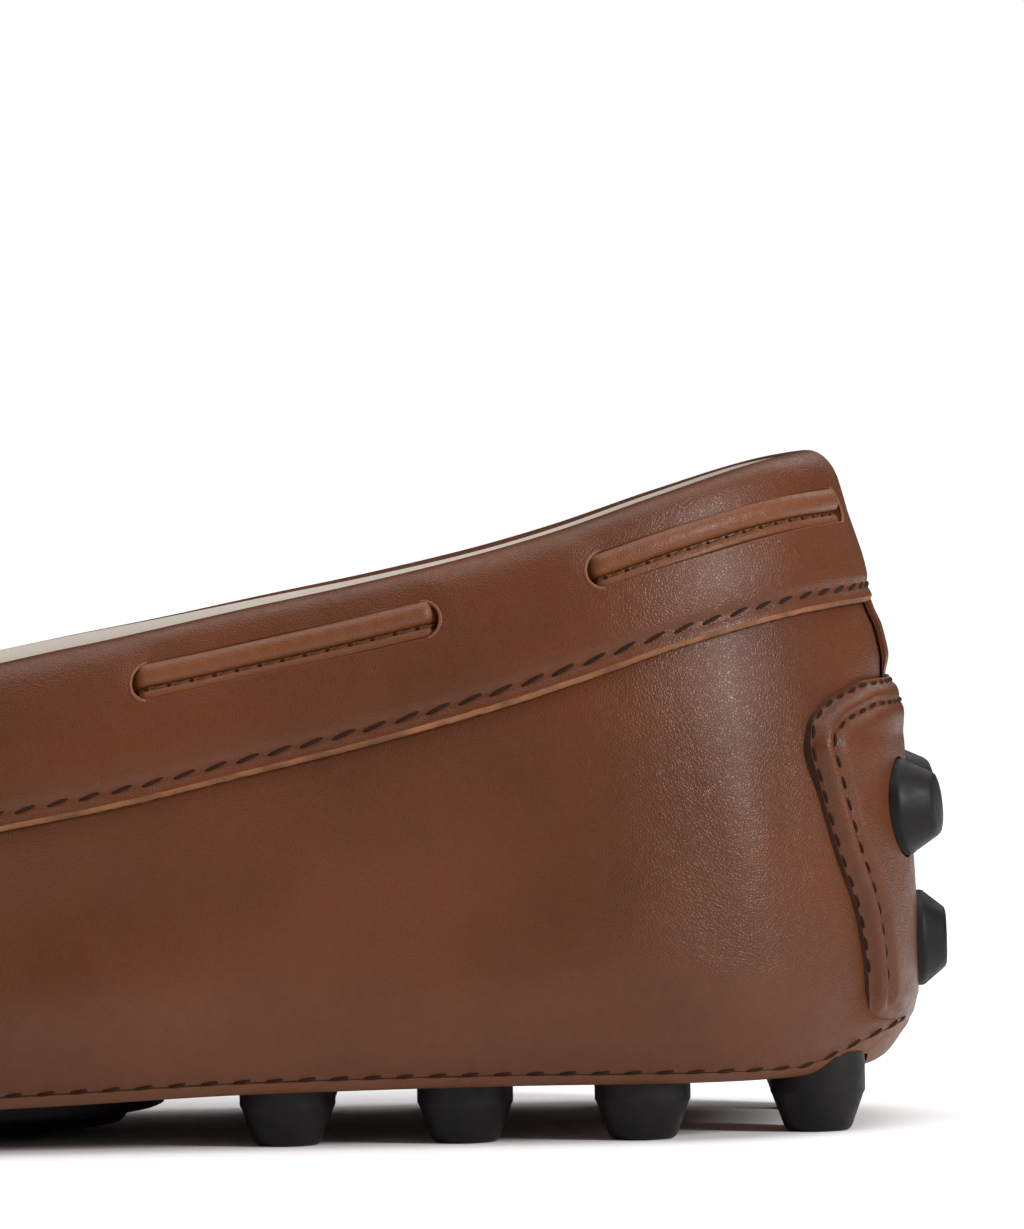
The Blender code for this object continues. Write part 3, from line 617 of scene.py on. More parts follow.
def leather(name, light, dark, gloss=0.39, grain=0.42):
    """Smooth calf leather: soft changes of tone, a fine pebbled grain and a satin finish."""
    look = Look(name)
    fine = look.noise(900.0, 4.0, 0.6)
    speckle = look.mix("RGBA", blend_type="MULTIPLY")
    look.link(look.ranged(fine, 0.35, 0.75, 0.0, 0.35), speckle.inputs[0])
    look.link(look.mixed(look.ranged(look.noise(45.0), 0.3, 0.7), dark, light), speckle.inputs[6])
    speckle.inputs[7].default_value = (0.72, 0.66, 0.62, 1)
    look.link(speckle.outputs[2], "Base Color")
    look.link(look.ranged(fine, 0.3, 0.7, gloss - 0.05, gloss + 0.09), "Roughness")
    warp = look.mix("VECTOR")
    warp.inputs[0].default_value = 0.0006
    look.link(look.place(), warp.inputs[4])
    look.link(look.noise(500.0, 2.0, output="Color"), warp.inputs[5])
    cells = look.add("ShaderNodeTexVoronoi", Scale=3200.0, Randomness=1.0)
    cells.feature = "DISTANCE_TO_EDGE"
    look.link(warp.outputs[1], cells.inputs["Vector"])
    pebble = look.ranged(cells.outputs["Distance"], 0.0, 0.25)
    soft = look.bump(look.noise(160.0, 3.0, 0.55), 0.3, 0.0005)
    look.link(look.bump(pebble, grain, 0.00005, soft), "Normal")
    set_inputs(look.shader, Specular_IOR_Level=0.27, Coat_Weight=0.05, Coat_Roughness=0.3)
    return look.material


def plain(name, tone, span, colours, rough, grain, relief, specular=0.5, rough_to=None):
    """A surface in two tones mixed by noise, with an even or varied roughness and a fine grain."""
    look = Look(name)
    look.link(look.mixed(look.ranged(look.noise(*tone), *span), *colours), "Base Color")
    look.link(look.bump(look.noise(*grain), *relief), "Normal")
    set_inputs(look.shader, Roughness=rough, Specular_IOR_Level=specular)
    if rough_to:
        look.link(look.ranged(look.noise(600.0), 0.3, 0.7, rough, rough_to), "Roughness")
    return look.material


def raw_leather(name, light, dark):
    """A cut edge: fibrous and dry in two given tones, lighter than the face for the raw edge; in near-black
    tones it is painted shade.
    """
    fibre = (1300.0, 4.0, 0.7, 0.4)
    return plain(name, (260.0,), (0.35, 0.65), (dark, light), 0.86, fibre, (0.7, 0.0002))


def lining_leather(name):
    """Pale, soft and even."""
    colours = (0.37, 0.32, 0.27), (0.43, 0.37, 0.32)
    return plain(name, (70.0, 4.0), (0.3, 0.7), colours, 0.72, (1500.0, 3.0, 0.6), (0.4, 0.0001))


def rubber(name):
    """Matt black rubber with a faint moulded texture and slight wear."""
    tone, grain = (240.0, 4.0, 0.6), (1400.0, 3.0, 0.6)
    colours = (0.0050, 0.0043, 0.0040), (0.0085, 0.0073, 0.0067)
    return plain(name, tone, (0.35, 0.75), colours, 0.42, grain, (0.25, 0.0001), 0.2, 0.6)


def thread_material(name, colour):
    """Waxed thread, with the twist of its plies."""
    colours = (tuple(c * 0.6 for c in colour), colour)
    twist = (3000.0, 2.0)
    return plain(name, twist, (0.0, 1.0), colours, 0.75, twist, (0.6, 0.0001), 0.12)


BROWN_LIGHT = (0.101, 0.0270, 0.0064)
BROWN_DARK = (0.070, 0.0183, 0.0038)

upper_leather = leather("upper leather", BROWN_LIGHT, BROWN_DARK)
band_leather = leather("band leather", BROWN_LIGHT, BROWN_DARK)
patch_leather = leather("patch leather", BROWN_LIGHT, BROWN_DARK)
lace_leather = leather("lace leather", (0.142, 0.044, 0.013), (0.108, 0.032, 0.0088), 0.41)
sole_leather = leather("sole leather", (0.135, 0.044, 0.0145), (0.105, 0.032, 0.010), 0.5)
rim_leather = leather("rim leather", (0.165, 0.058, 0.020), (0.125, 0.042, 0.014), 0.5)
lining = lining_leather("lining")
raw_edge = raw_leather("raw edge", (0.245, 0.096, 0.034), (0.125, 0.045, 0.017))
# Near-black edge: painted shade, the shadow of the thin gaps at the heel patch's edges, round its stud
# holes and under the backstay.
painted_shade_edge = raw_leather("painted shade edge", (0.045, 0.016, 0.008), (0.028, 0.010, 0.005))
black_rubber = rubber("black rubber")
brown_thread = thread_material("brown thread", (0.024, 0.0095, 0.0055))
tan_thread = thread_material("tan thread", (0.10, 0.045, 0.025))
lace_thread = thread_material("lace thread", (0.105, 0.040, 0.017))

PIECES = {
    # node: materials outside, inside and round the edges, and the angle from which an edge is sharp
    "upper": ([upper_leather, lining, upper_leather], 50),
    "collar_band": ([band_leather, lining, raw_edge], 42),
    "lace": ([lace_leather], 60),
    # The patch's edges, round its rim and its stud holes, wear the near-black painted shade of a thin gap
    # shadow.
    "heel_patch": ([patch_leather, patch_leather, painted_shade_edge], 50),
    "back_studs": ([black_rubber], 40),
    # The backstay's inside face is near-black painted shade: the shadow of its gap over the wall.
    "backstay": ([upper_leather, painted_shade_edge, upper_leather], 50),
    "tongue": ([upper_leather, lining, upper_leather], 50),
    "sole_panel": ([sole_leather, sole_leather, raw_edge], 45),
    "heel_studs": ([black_rubber], 40),
    "forefoot_studs": ([black_rubber], 40),
    "arch_pad": ([black_rubber], 30),
    "insole": ([lining], 40),
}


# The upper.

SEAM_SIDE, SEAM_BACK, SEAM_RISE_LENGTH, SEAM_GAP = 0.28, 0.66, 9.0, 0.012
RIDGE_HEIGHT, RIDGE_WIDTH = 1.5, 2.8
UPPER_SIDE = 250
WALL_ROWS, APRON_HALF_ROWS = 76, 26

# Soft troughs (depth above 0) and swellings (below 0) of the wall, in station and height.
CREASES = (
    # side, from station, height, to station, height, half width, depth
    (1, 14, 38, 12, 22, 3.2, 0.5),
    (1, 17, 36, 15.5, 18, 4.0, -0.45),
    (1, 22, 15, 40, 10.5, 3.0, 0.35),
    (1, 30, 30, 60, 22, 10.0, 0.5),
    (1, 66, 16, 100, 11, 5.5, -0.9),
    (1, 70, 24, 112, 21, 6.0, 0.5),
    (1, 132, 44, 156, 24, 2.6, 0.6),
    (1, 142, 50, 170, 28, 2.4, 0.7),
    (1, 137, 46, 163, 25, 2.4, -0.4),
    (1, 160, 52, 182, 34, 2.2, 0.55),
    (1, 200, 26, 226, 20, 3.0, 0.3),
    (-1, 14, 38, 12, 22, 3.2, 0.4),
    (-1, 60, 18, 110, 16, 8.0, 0.6),
    (-1, 130, 42, 154, 22, 2.6, 0.6),
    (-1, 141, 48, 168, 26, 2.4, 0.7),
    (-1, 136, 45, 161, 24, 2.4, -0.4),
    (-1, 158, 50, 180, 32, 2.2, 0.5),
    (-1, 198, 26, 224, 20, 3.0, 0.3),
)
# Soft waves of the apron where the foot bends.
APRON_WAVES = (
    # station, slant, depth
    (176, 0.1, 0.35), (186, -0.06, 0.45), (197, 0.05, 0.4), (209, -0.04, 0.25),
)


def creased(point):
    """How far the leather at a point of the wall stands out or in, in its creases."""
    side = 1 if point.x >= 0 else -1
    station, z = HEEL_Y - point.y, point.z
    offset = 0.25 * noise.noise(Vector((station * 0.045, z * 0.06, side * 3.0)))
    for crease_side, s0, z0, s1, z1, width, depth in CREASES:
        if crease_side != side:
            continue
        ds, dz = s1 - s0, z1 - z0
        t = ((station - s0) * ds + (z - z0) * dz) / (ds * ds + dz * dz)
        if not -0.3 < t < 1.3:
            continue
        nearest = min(1.0, max(0.0, t))
        away = math.hypot(station - s0 - nearest * ds, z - z0 - nearest * dz)
        if away < 3 * width:
            offset -= depth * math.exp(-((away / width) ** 2)) * (0.35 + 0.65 * math.sin(math.pi * nearest))
    return offset


def seam_q(g):
    """Where the sole panel meets the upper: low along the sides, higher round the back."""
    station = widest(g)[1]
    share = 1 - ease((station - WIDEST_START) / SEAM_RISE_LENGTH)
    return SEAM_SIDE + (SEAM_BACK - SEAM_SIDE) * share


def ridge_offset(g, away):
    """The raised apron seam: how far it stands up at a distance from its line."""
    share = ease((abs(wrapped(g)) - THROAT) / 0.02)
    return RIDGE_HEIGHT * share * math.sqrt(max(0.0, 1 - min(1.0, away / RIDGE_WIDTH) ** 2))


def wall_rows(g):
    """The q of each row up the wall, close together near the top edge."""
    start = seam_q(g) + SEAM_GAP
    rows = []
    for i in range(WALL_ROWS):
        t = i / (WALL_ROWS - 1)
        t = t + 0.25 * math.sin(math.pi * t) * t
        rows.append(start + (2.0 - start) * min(1.0, t))
    rows[-1] = at_depth(g, 2.0 * collar_share(g))
    return [min(q, rows[-1]) for q in rows]


def wall_point(g, q):
    """(outer, inner) points of the upper's wall."""
    base, normal = wall(g, q), wall_normal(g, q)
    depth = depth_at(g, q) if q > 1 else 99.0
    back = setback(g, depth)
    calm = ease((q - seam_q(g)) / 0.25) * ease((depth - 16.5 * collar_share(g)) / 5.0)
    out = back + creased(base) * calm + ridge_offset(g, depth)
    out += swell(heel_arc(g), base.z)
    base = base + heel_fill(g, base.z)
    return base + normal * out, base + normal * (back - WALL)


def apron_share(g):
    """How much of its crown the apron has at |g|, from none at the toe to all of it."""
    return ease((1 - abs(g)) / (1 - THROAT) * 2.2)


def apron_place(g, w):
    """A point of the apron, on the line across at |g|; w runs from -1 inside to +1 outside."""
    outer = Vector(top_edge(abs(g)))
    inner = Vector(top_edge(-abs(g)))
    x, station, z = inner.lerp(outer, (w + 1) / 2)
    return placed(x, station, z + APRON_CROWN * apron_share(g) * (1 - w * w))


def apron_normal(g, w):
    return Vector((0.27 * w * apron_share(g), -0.3, 1.0)).normalized()


def solid_sheet(outer, inner, faces):
    """Points, faces and material slots of a closed sheet: 0 outside, 1 inside, EDGE_SLOT at its edges."""
    count = len(outer)
    sides = {}
    for face in faces:
        for a, b in zip(face, face[1:] + face[:1]):
            sides[(a, b)] = True
    rims = [(b, a, a + count, b + count) for a, b in sides if (b, a) not in sides]
    backs = [tuple(i + count for i in reversed(face)) for face in faces]
    slots = [0] * len(faces) + [1] * len(backs) + [EDGE_SLOT] * len(rims)
    return list(outer) + list(inner), list(faces) + backs + rims, slots


def sheet(rows, across, place, flip=True):
    """A closed sheet from place(share, side), the points of its two faces; side runs from -1 to 1."""
    pairs = [place(r / (rows - 1), 2 * c / (across - 1) - 1) for r in range(rows) for c in range(across)]
    return solid_sheet(*zip(*pairs), grid_faces(rows, across, flip=flip))


def make_upper():
    """The wall and the apron as one hollow shell, with its seam ridge, creases and lining."""
    side = [i / UPPER_SIDE for i in range(UPPER_SIDE + 1)]
    around = [-g for g in reversed(side[1:-1])] + side
    outer, inner, faces = [], [], []
    for g in around:
        for q in wall_rows(g):
            out, inn = wall_point(g, q)
            outer.append(out)
            inner.append(inn)
        if abs(g) >= THROAT:
            seam_normal = (wall_normal(g, 2.0) + apron_normal(g, math.copysign(1, g))).normalized()
            base = wall(g, 2.0)
            share = ridge_offset(g, 0.0) * (1 + 0.08 * math.cos(abs(g) * 520))
            outer[-1] = base + seam_normal * share
            inner[-1] = base - seam_normal * WALL
    count = len(around)
    for c in range(count):
        for r in range(WALL_ROWS - 1):
            a, b = c * WALL_ROWS + r, (c + 1) % count * WALL_ROWS + r
            faces.append((a, b, b + 1, a + 1))
    top_of = {g: i * WALL_ROWS + WALL_ROWS - 1 for i, g in enumerate(around)}
    steps = range(1 - APRON_HALF_ROWS, APRON_HALF_ROWS)
    across = [math.sin(math.pi / 2 * i / APRON_HALF_ROWS) for i in steps]
    rows = []
    for g in [g for g in side if THROAT <= g < 1]:
        row = [top_of[-g]]
        half = abs(top_edge(g)[0] - top_edge(-g)[0]) / 2
        for w in across:
            place, normal = apron_place(g, w), apron_normal(g, w)
            away = min((1 - abs(w)) * half, TOP_END - top_edge(g)[1])
            row.append(len(outer))
            outer.append(place + normal * (ridge_offset(g, away) + apron_relief(place)))
            inner.append(place - normal * WALL)
        rows.append(row + [top_of[g]])
    for a, b in zip(rows, rows[1:]):
        for i in range(len(a) - 1):
            faces.append((a[i + 1], b[i + 1], b[i], a[i]))
    for a, b in zip(rows[-1], rows[-1][1:]):
        faces.append((a, b, top_of[1.0]))
    piece("upper", solid_sheet(outer, inner, faces))


def apron_relief(place):
    """Soft waves of the apron where the foot bends."""
    station, x = HEEL_Y - place.y, place.x
    wave = 0.0
    for at, slant, depth in APRON_WAVES:
        wave -= depth * math.exp(-(((station - at - slant * x) / 3.4) ** 2))
    return wave * (1 - (x / 36) ** 2) + 0.2 * noise.noise(Vector((x * 0.05, station * 0.05, 7.0)))


# The collar band and its lace.

BAND_STEP = 0.55
BAND_STITCH_INSET = 1.6
DIP_ABOVE = 0.42
HEEL_TOP = 0.5


def band_face(g, arc, depth):
    """How far the band's outer face stands out at a depth: nearly flat, drawn in at its stitches."""
    edge = band_width(g) - depth
    out = 1.08 + 0.52 * ease((edge - 0.4) / 5)
    pull = 0.88 + 0.12 * math.cos(2 * math.pi * arc / BAND_STITCH)
    out -= 0.3 * pull * bump(edge - BAND_STITCH_INSET, 1.0)
    out -= slot_dip(arc, depth)
    return out + 0.1 * noise.noise(Vector((arc * 0.09, depth * 0.12, 1.0 if g > 0 else 5.0)))


def slot_dip(arc, depth):
    """How far the leather above a slot is pressed in towards the lace."""
    near = max(ease((min(abs(arc) - start, end - abs(arc)) + 1.5) / 4.0) for start, end in SLOTS)
    across = ease((depth - 0.6) / 2.8) * (1 - ease((depth - LACE_DEPTH + 0.6) / 1.8))
    return DIP_ABOVE * near * across


def band_section(g, arc):
    """(n, depth, slot) round the band's section: raw lower edge, face, top roll, lining and back."""
    width = band_width(g)
    width += 0.07 * noise.noise(Vector((arc * 0.9, 3.0, 1.0 if g > 0 else 5.0)))
    raw = [(0.3, width), (0.62, width - 0.02), (0.86, width - 0.14), (1.0, width - 0.36)]
    face_from, face_to, steps = width - 0.44, 4.4, 24
    face = []
    for i in range(steps):
        t = i / (steps - 1)
        depth = face_from + (face_to - face_from) * (0.45 * t + 0.55 * t * t)
        face.append((band_face(g, arc, depth), depth))
    roll = []
    for i in range(1, 16):
        angle = math.pi * i / 16
        cos, sin = math.cos(angle), math.sin(angle)
        n = -1.7 + 3.32 * math.copysign(abs(cos) ** 0.8, cos)
        depth = 4.3 - (4.3 + HEEL_TOP * (1 - ease((abs(arc) - 8) / 30))) * sin**0.8
        roll.append((n - (slot_dip(arc, depth) if n > 0 else 0.0), depth))
    inside = [(-5.02, 4.4), (-5.02, 6.6), (-5.0, 9.0)]
    back = [(-3.9, 9.0), (-3.9, 2.3), (-3.2, 1.2), (-1.0, 1.2), (0.5, 3.4), (0.5, 8.4), (0.4, width - 2)]
    rows = [(n, d, EDGE_SLOT) for n, d in raw] + [(n, d, 0) for n, d in face]
    rows += [(n, d, 0 if n > -2.2 else 1) for n, d in roll]
    rows += [(n, d, 1) for n, d in inside] + [(n, d, 0) for n, d in back]
    return rows


def band_arcs():
    """Evenly spaced lengths along the band, from one front end to the other."""
    end = LACE_LENGTHS[int(BAND_END * ARC_STEPS)]
    return spaced(-end, end, int(2 * end / BAND_STEP))


def make_band():
    points = []
    arcs = band_arcs()
    for arc in arcs:
        g = band_g(arc)
        section = band_section(g, arc)
        points += [band_place(g, n, depth) for n, depth, _ in section]
    slots = [slot for _, _, slot in section] * (len(arcs) - 1) + [0, 0]
    shape = points, tube_faces(len(arcs), len(section)), slots
    cuts = [slot_shape(*place) for place in slot_places()]
    piece("collar_band", shape, cuts)
    path, inner_path = [], []
    for arc in arcs[6:-6]:
        g = band_g(arc)
        depth = band_width(g) - BAND_STITCH_INSET
        normal = wall_normal(g, at_depth(g, depth))
        path.append((band_place(g, band_face(g, arc, depth) + 0.02, depth), normal))
        inner_path.append((band_place(g, -5.0, 7.4), -normal))
    stitch_line("band_stitches", path, brown_thread)
    stitch_line("lining_stitches", inner_path, tan_thread)


def stadium(middle, straight, radius):
    """(arc, down, way out) round a bar with round ends."""
    loop = []
    for end in (1, -1):
        for i in range(29):
            angle = math.pi * (i / 28 - 0.5)
            cos, sin = end * math.cos(angle), end * math.sin(angle)
            loop.append((middle + end * straight + radius * cos, radius * sin, (cos, sin)))
        steps = int(straight / 0.3)
        for i in range(1, steps):
            loop.append((middle + end * straight * (1 - 2 * i / steps), end * radius, (0.0, float(end))))
    return loop


def slot_places():
    """(middle, half length, half height) of each slot and eyelet."""
    places = []
    for side in (1, -1):
        places += [(side * (a + b) / 2, (b - a) / 2, SLOT_HEIGHT / 2) for a, b in SLOTS]
        places.append((side * EYELET_ARC, EYELET_RADIUS, EYELET_RADIUS))
    return places


def make_rims():
    """The turned-out edge round each slot and eyelet, as a thin rounded line."""
    shapes = []
    for middle, half_length, half_height in slot_places():
        straight = half_length - half_height
        points = []
        loop = stadium(middle, straight, half_height + 0.1)
        for arc, down, (away_arc, away_down) in loop:
            tip = abs(away_arc) if straight else 1.0
            n = band_face(band_g(arc), arc, LACE_DEPTH + down) - 0.18 + 0.14 * tip
            for cos, sin in circle(6):
                out, across = 0.17 * sin, 0.2 * cos
                g = band_g(arc + away_arc * across)
                points.append(band_place(g, n + out, LACE_DEPTH + down + away_down * across))
        ring = grid_faces(len(loop) + 1, 6, around=True)
        shapes.append((points, [tuple(i % len(points) for i in face) for face in ring]))
    rims = shell("slot_rims", gather(shapes), [rim_leather])
    turn_out(rims.data)


def slot_shape(middle, half_length, half_height):
    """A bar with round ends that follows the band and passes through its outer sheet only."""
    straight = half_length - half_height
    angles = [math.radians(a) for a in range(-84, 1, 12)]
    end = [(-straight + half_height * math.sin(a), half_height * math.cos(a)) for a in angles]
    if straight == 0:
        end.pop()
    count = max(1, round(straight / 1.5))
    runs = end + [(run, half_height) for run in spaced(-straight, straight, count)[1:-1]]
    runs += [(-run, half) for run, half in reversed(end)]
    points = []
    for run, half in runs:
        g = band_g(middle + run)
        ring = ((-1.0, -half), (3.5, -half), (3.5, half), (-1.0, half))
        points += [band_place(g, n, LACE_DEPTH + down) for n, down in ring]
    return points, tube_faces(len(runs), 4)


LACE_REST, LACE_LIFT, LACE_RAMP, LACE_HIDDEN = -0.5, 1.45, 1.4, -0.2
LACE_STEP = 0.5


def lace_lift(arc):
    """How far the lace comes out into a window, from 0 behind the band to 1 in the window's middle."""
    for start, end in SLOTS:
        into = min(abs(arc) - start, end - abs(arc))
        if into > LACE_HIDDEN:
            return ease((into - LACE_HIDDEN) / LACE_RAMP)
    return 0.0


def lace_shape(arc):
    """(n, down) round the lace: a full folded edge above, then a stitched flange."""
    puff = 0.96 + 0.03 * math.cos(2 * math.pi * arc / LACE_STITCH) + 0.05 * math.sin(arc * 0.23)
    rows = []
    for i in range(14):
        angle = math.pi * (-0.5 + i / 13)
        cos, sin = max(0.0, math.cos(angle)), math.sin(angle)
        rows.append((-0.1 + 0.95 * puff * cos**0.8, -0.66 + 1.12 * sin))
    rows += [(0.08, 0.54), (0.04, 0.72), (0.24, 0.95), (0.3, 1.5), (0.22, 1.72), (-0.1, 1.78)]
    rows += [(-0.65, 1.6), (-0.65, 0.4), (-0.65, -1.3)]
    return rows


def lace_place(g, arc, n, down):
    lift = lace_lift(arc)
    sway = 0.08 * math.sin(arc * 0.19) * lift
    spread = 1.0 + 0.35 * (1 - lift)
    return band_place(g, LACE_REST + LACE_LIFT * lift + n, LACE_DEPTH + down * spread + sway)


def make_lace():
    end = EYELET_ARC + EYELET_RADIUS + 1.0
    arcs = spaced(-end, end, int(2 * end / LACE_STEP))
    points, path = [], []
    for arc in arcs:
        g = band_g(arc)
        shape = lace_shape(arc)
        points += [lace_place(g, arc, n, down) for n, down in shape]
        path.append((lace_place(g, arc, 0.08, 0.74), wall_normal(g, at_depth(g, LACE_DEPTH))))
    piece("lace", (points, tube_faces(len(arcs), len(shape))))
    stitch_line("lace_stitches", path, lace_thread)
    # Dark dots between the stitches: painted shade of the needle holes.
    stitch_line("lace_hole_shade", path[2:], brown_thread)


# The back of the heel.

PATCH = (
    # height, half width along the wall
    (8.4, 14.5), (9.6, 17.0), (11.0, 19.5), (13.0, 19.5), (20.0, 20.8), (27.0, 24.0), (33.0, 25.8),
    (37.0, 26.9), (40.0, 26.0), (42.2, 22.8), (43.7, 16.0),
)
PATCH_SHEET, PATCH_PADDING, PATCH_TRIM = 1.2, 0.6, 0.7
PATCH_LOW, PATCH_TOP = PATCH[0][0], PATCH[-1][0] - PATCH_TRIM
PATCH_LINES = (0.4, 2.4)
PATCH_GRID, STRIP_GRID = (76, 108), (30, 34)
PATCH_MERGE, PATCH_EDGE_MERGE = (9.0, 13.6), (11.4, 14.2)
BACK_STUDS = (
    # length from the middle, height, how far it stands out of the patch
    (10.3, 30.6, 3.5), (-9.4, 31.2, 3.5), (0.0, 17.5, 2.8),
)
BACK_STUD_RADIUS, BACK_STUD_TIP, BACK_STUD_SIDES = 4.7, 2.8, 48
BACKSTAY_HALF, BACKSTAY_SHEET, BACKSTAY_LOW, BACKSTAY_HIGH = 6.0, 0.6, 42.7, 50.4


def heel_place(arc, z):
    """(point, normal) on the back of the upper at a length from its middle and a height."""
    g = g_at(HEEL_LENGTHS, arc)
    q = at_height(g, z)
    return wall(g, q) + heel_fill(g, z), wall_normal(g, q)


def patch_half(z):
    """Half the patch's width along the wall at a height."""
    return smooth(PATCH, 1, z + PATCH_TRIM * ease((z - 36) / 5)) - PATCH_TRIM


def patch_outline(inset=0.0):
    """(arc, z) along the patch's edge, up one side, over the top and down the other."""
    heights = [PATCH_LOW + (PATCH_TOP - PATCH_LOW) * (1 - (1 - i / 59) ** 1.6) for i in range(60)]
    side = [(patch_half(z), z) for z in heights]
    reach = side[-1][0]
    path = side + [(arc, PATCH_TOP) for arc in spaced(reach, -reach, 16)[1:-1]]
    path += [(-arc, z) for arc, z in reversed(side)]
    if not inset:
        return path
    moved = []
    for (a0, z0), (a1, z1) in zip(path, path[2:]):
        length = math.hypot(a1 - a0, z1 - z0)
        middle_arc, middle_z = (a0 + a1) / 2, (z0 + z1) / 2
        moved.append((middle_arc - inset * (z1 - z0) / length, middle_z + inset * (a1 - a0) / length))
    return moved


def patch_rise(edge, arc, z):
    """How far the patch's face stands out of the wall at a distance from its edge."""
    top = ease((z - 37) / 5) * (1 - ease((abs(arc) - 10) / 10))
    relief = 1 - 0.75 * top
    out = 0.5 + 0.6 * ease(edge / 1.2) + (PATCH_SHEET + PATCH_PADDING - 0.8) * ease((edge - 0.5) / 3.4)
    out += 0.42 * relief * bump(edge - sum(PATCH_LINES) / 2, 0.95) * ease((z - 10.5) / 3)
    out -= 0.3 * relief * bump(edge - PATCH_LINES[0], 0.5)
    out -= 0.34 * relief * bump(edge - PATCH_LINES[1], 0.7)
    out += 0.4 * top + 0.35 * bump(z - 37, 5.5)
    merged = ease((z - PATCH_MERGE[0]) / (PATCH_MERGE[1] - PATCH_MERGE[0]))
    at_edge = ease((z - PATCH_EDGE_MERGE[0]) / (PATCH_EDGE_MERGE[1] - PATCH_EDGE_MERGE[0]))
    merged += 0.8 * (max(at_edge, merged) - merged) * (1 - ease((edge - 3.0) / 1.8))
    return -0.4 + (out + 0.4) * merged + swell(arc, z)


def edge_distance(arc, z, outline):
    nearest = 99.0
    for (a0, z0), (a1, z1) in zip(outline, outline[1:]):
        da, dz = a1 - a0, z1 - z0
        t = min(1.0, max(0.0, ((arc - a0) * da + (z - z0) * dz) / (da * da + dz * dz)))
        nearest = min(nearest, math.hypot(arc - a0 - t * da, z - z0 - t * dz))
    return nearest


def make_patch():
    outline = patch_outline()

    def place(share, side):
        z = PATCH_LOW + (PATCH_TOP - PATCH_LOW) * (1 - (1 - share) ** 1.3)
        side = math.copysign(1 - (1 - abs(side)) ** 1.25, side)
        arc = patch_half(z) * side
        point, normal = heel_place(arc, z)
        edge = edge_distance(arc, z, outline)
        crease = 0.25 * noise.noise(Vector((side * 3.0, z * 0.09, 2.0))) * ease((edge - 4) / 4)
        rise = patch_rise(edge, arc, z) + crease
        return point + normal * rise, point + normal * (rise - 0.8 - PATCH_PADDING * ease(edge / 4.0))

    radius = BACK_STUD_RADIUS + HOLE_ROOM
    profile = ((radius, 0.1), (radius, 7.0))
    holes = [turned_points(profile, BACK_STUD_SIDES, *heel_place(arc, z)) for arc, z, _ in BACK_STUDS]
    # The cut faces of the stud holes take the edge slot: near-black painted shade.
    piece("heel_patch", sheet(*PATCH_GRID, place), holes, EDGE_SLOT)
    for k, inset in enumerate(PATCH_LINES):
        path = []
        for arc, z in patch_outline(inset):
            if z > PATCH_EDGE_MERGE[1] - 0.3:
                point, normal = heel_place(arc, z)
                path.append((point + normal * (patch_rise(inset, arc, z) + 0.02), normal))
        stitch_line(f"patch_stitches_{k}", path, brown_thread)


def make_back_studs():
    shapes = []
    face = CLEAR + PATCH_PADDING + PATCH_SHEET
    for arc, z, out in BACK_STUDS:
        profile = [(BACK_STUD_RADIUS, 0.6), (BACK_STUD_RADIUS, face + 0.35)]
        profile += [(BACK_STUD_RADIUS - 0.08, face + 0.6), (BACK_STUD_RADIUS - 0.25, face + 0.8)]
        profile += [(BACK_STUD_TIP + 0.35, face + out - 0.4), (BACK_STUD_TIP + 0.1, face + out - 0.12)]
        profile += [(BACK_STUD_TIP - 0.25, face + out), (0.02, face + out)]
        shapes.append(turned_points(profile, BACK_STUD_SIDES, *heel_place(arc, z)))
    piece("back_studs", gather(shapes))


def strip_at_back(half, low, high):
    """A strip over the back seam, between two distances out of the puffed leather."""

    def place(share, side):
        z = BACKSTAY_LOW + (BACKSTAY_HIGH - BACKSTAY_LOW) * share
        point, normal = heel_place(half * side, z)
        base = swell(half * side, z)
        thin = 1 - 0.7 * (1 - ease((z - BACKSTAY_LOW) / 2.6))
        out = base + low + (high - low - 0.18 * side**8) * thin
        return point + normal * out, point + normal * (base + low)

    return sheet(*STRIP_GRID, place)


def make_backstay():
    # A near-black sheet under the strip's edges: painted shade in the gap between the strip and the wall.
    under = shell("backstay_shade_sheet", strip_at_back(BACKSTAY_HALF - 0.4, -0.2, 0.3), [painted_shade_edge] * 3)
    turn_out(under.data)
    soften(under, 50)
    piece("backstay", strip_at_back(BACKSTAY_HALF, 0.25, 0.25 + BACKSTAY_SHEET), turned=True)


# The sole.

PANEL_SHEET, PLATE_SHEET, PLATE_MARGIN, INSOLE_SHEET, INSOLE_EDGE = 1.4, 1.0, 1.2, 3.0, 1.7
STUD_RADIUS, STUD_TIP, STUD_COLLAR, STUD_LENGTH, STUD_SIDES = 4.6, 3.0, 1.4, 5.0, 40
STUD_PITCH, FIRST_STUD, STUD_MARGIN, STUD_REACH = 17.0, 10.6, 4.7, 0.8
STUD_ROWS = (
    # pitches from the first row, studs in the row, further inset
    (0, 2, 0.0), (1, 3, 0.0), (2, 3, 0.0), (3, 3, 0.0), (8, 3, 0.0), (9, 4, 0.0), (10, 4, 0.0),
    (11, 5, 0.0), (12, 5, 0.0), (13, 4, 1.0), (14, 3, 3.0), (15, 2, 5.0),
)
HEEL_ROWS = 4
HEEL_PLATE = (5.0, 67.0)
FOREFOOT_PLATE = (137.5, 270.0)
INSOLE_ENDS = (2.3, 280.9)
PAD_CENTRE, PAD_STATION, PAD_HALF_LENGTH, PAD_HALF_WIDTH = 2.6, 104.0, 30.0, 19.0
PAD_STEPS = (
    # inset of the outline, height over the underside of the leather
    (-2.0, 2.3), (-2.0, 1.7), (0.0, 1.7), (0.0, -1.5), (0.15, -1.85), (0.8, -2.1), (3.2, -2.25),
    (3.5, -2.4), (4.0, -3.1), (4.25, -3.35), (5.2, -3.5),
)
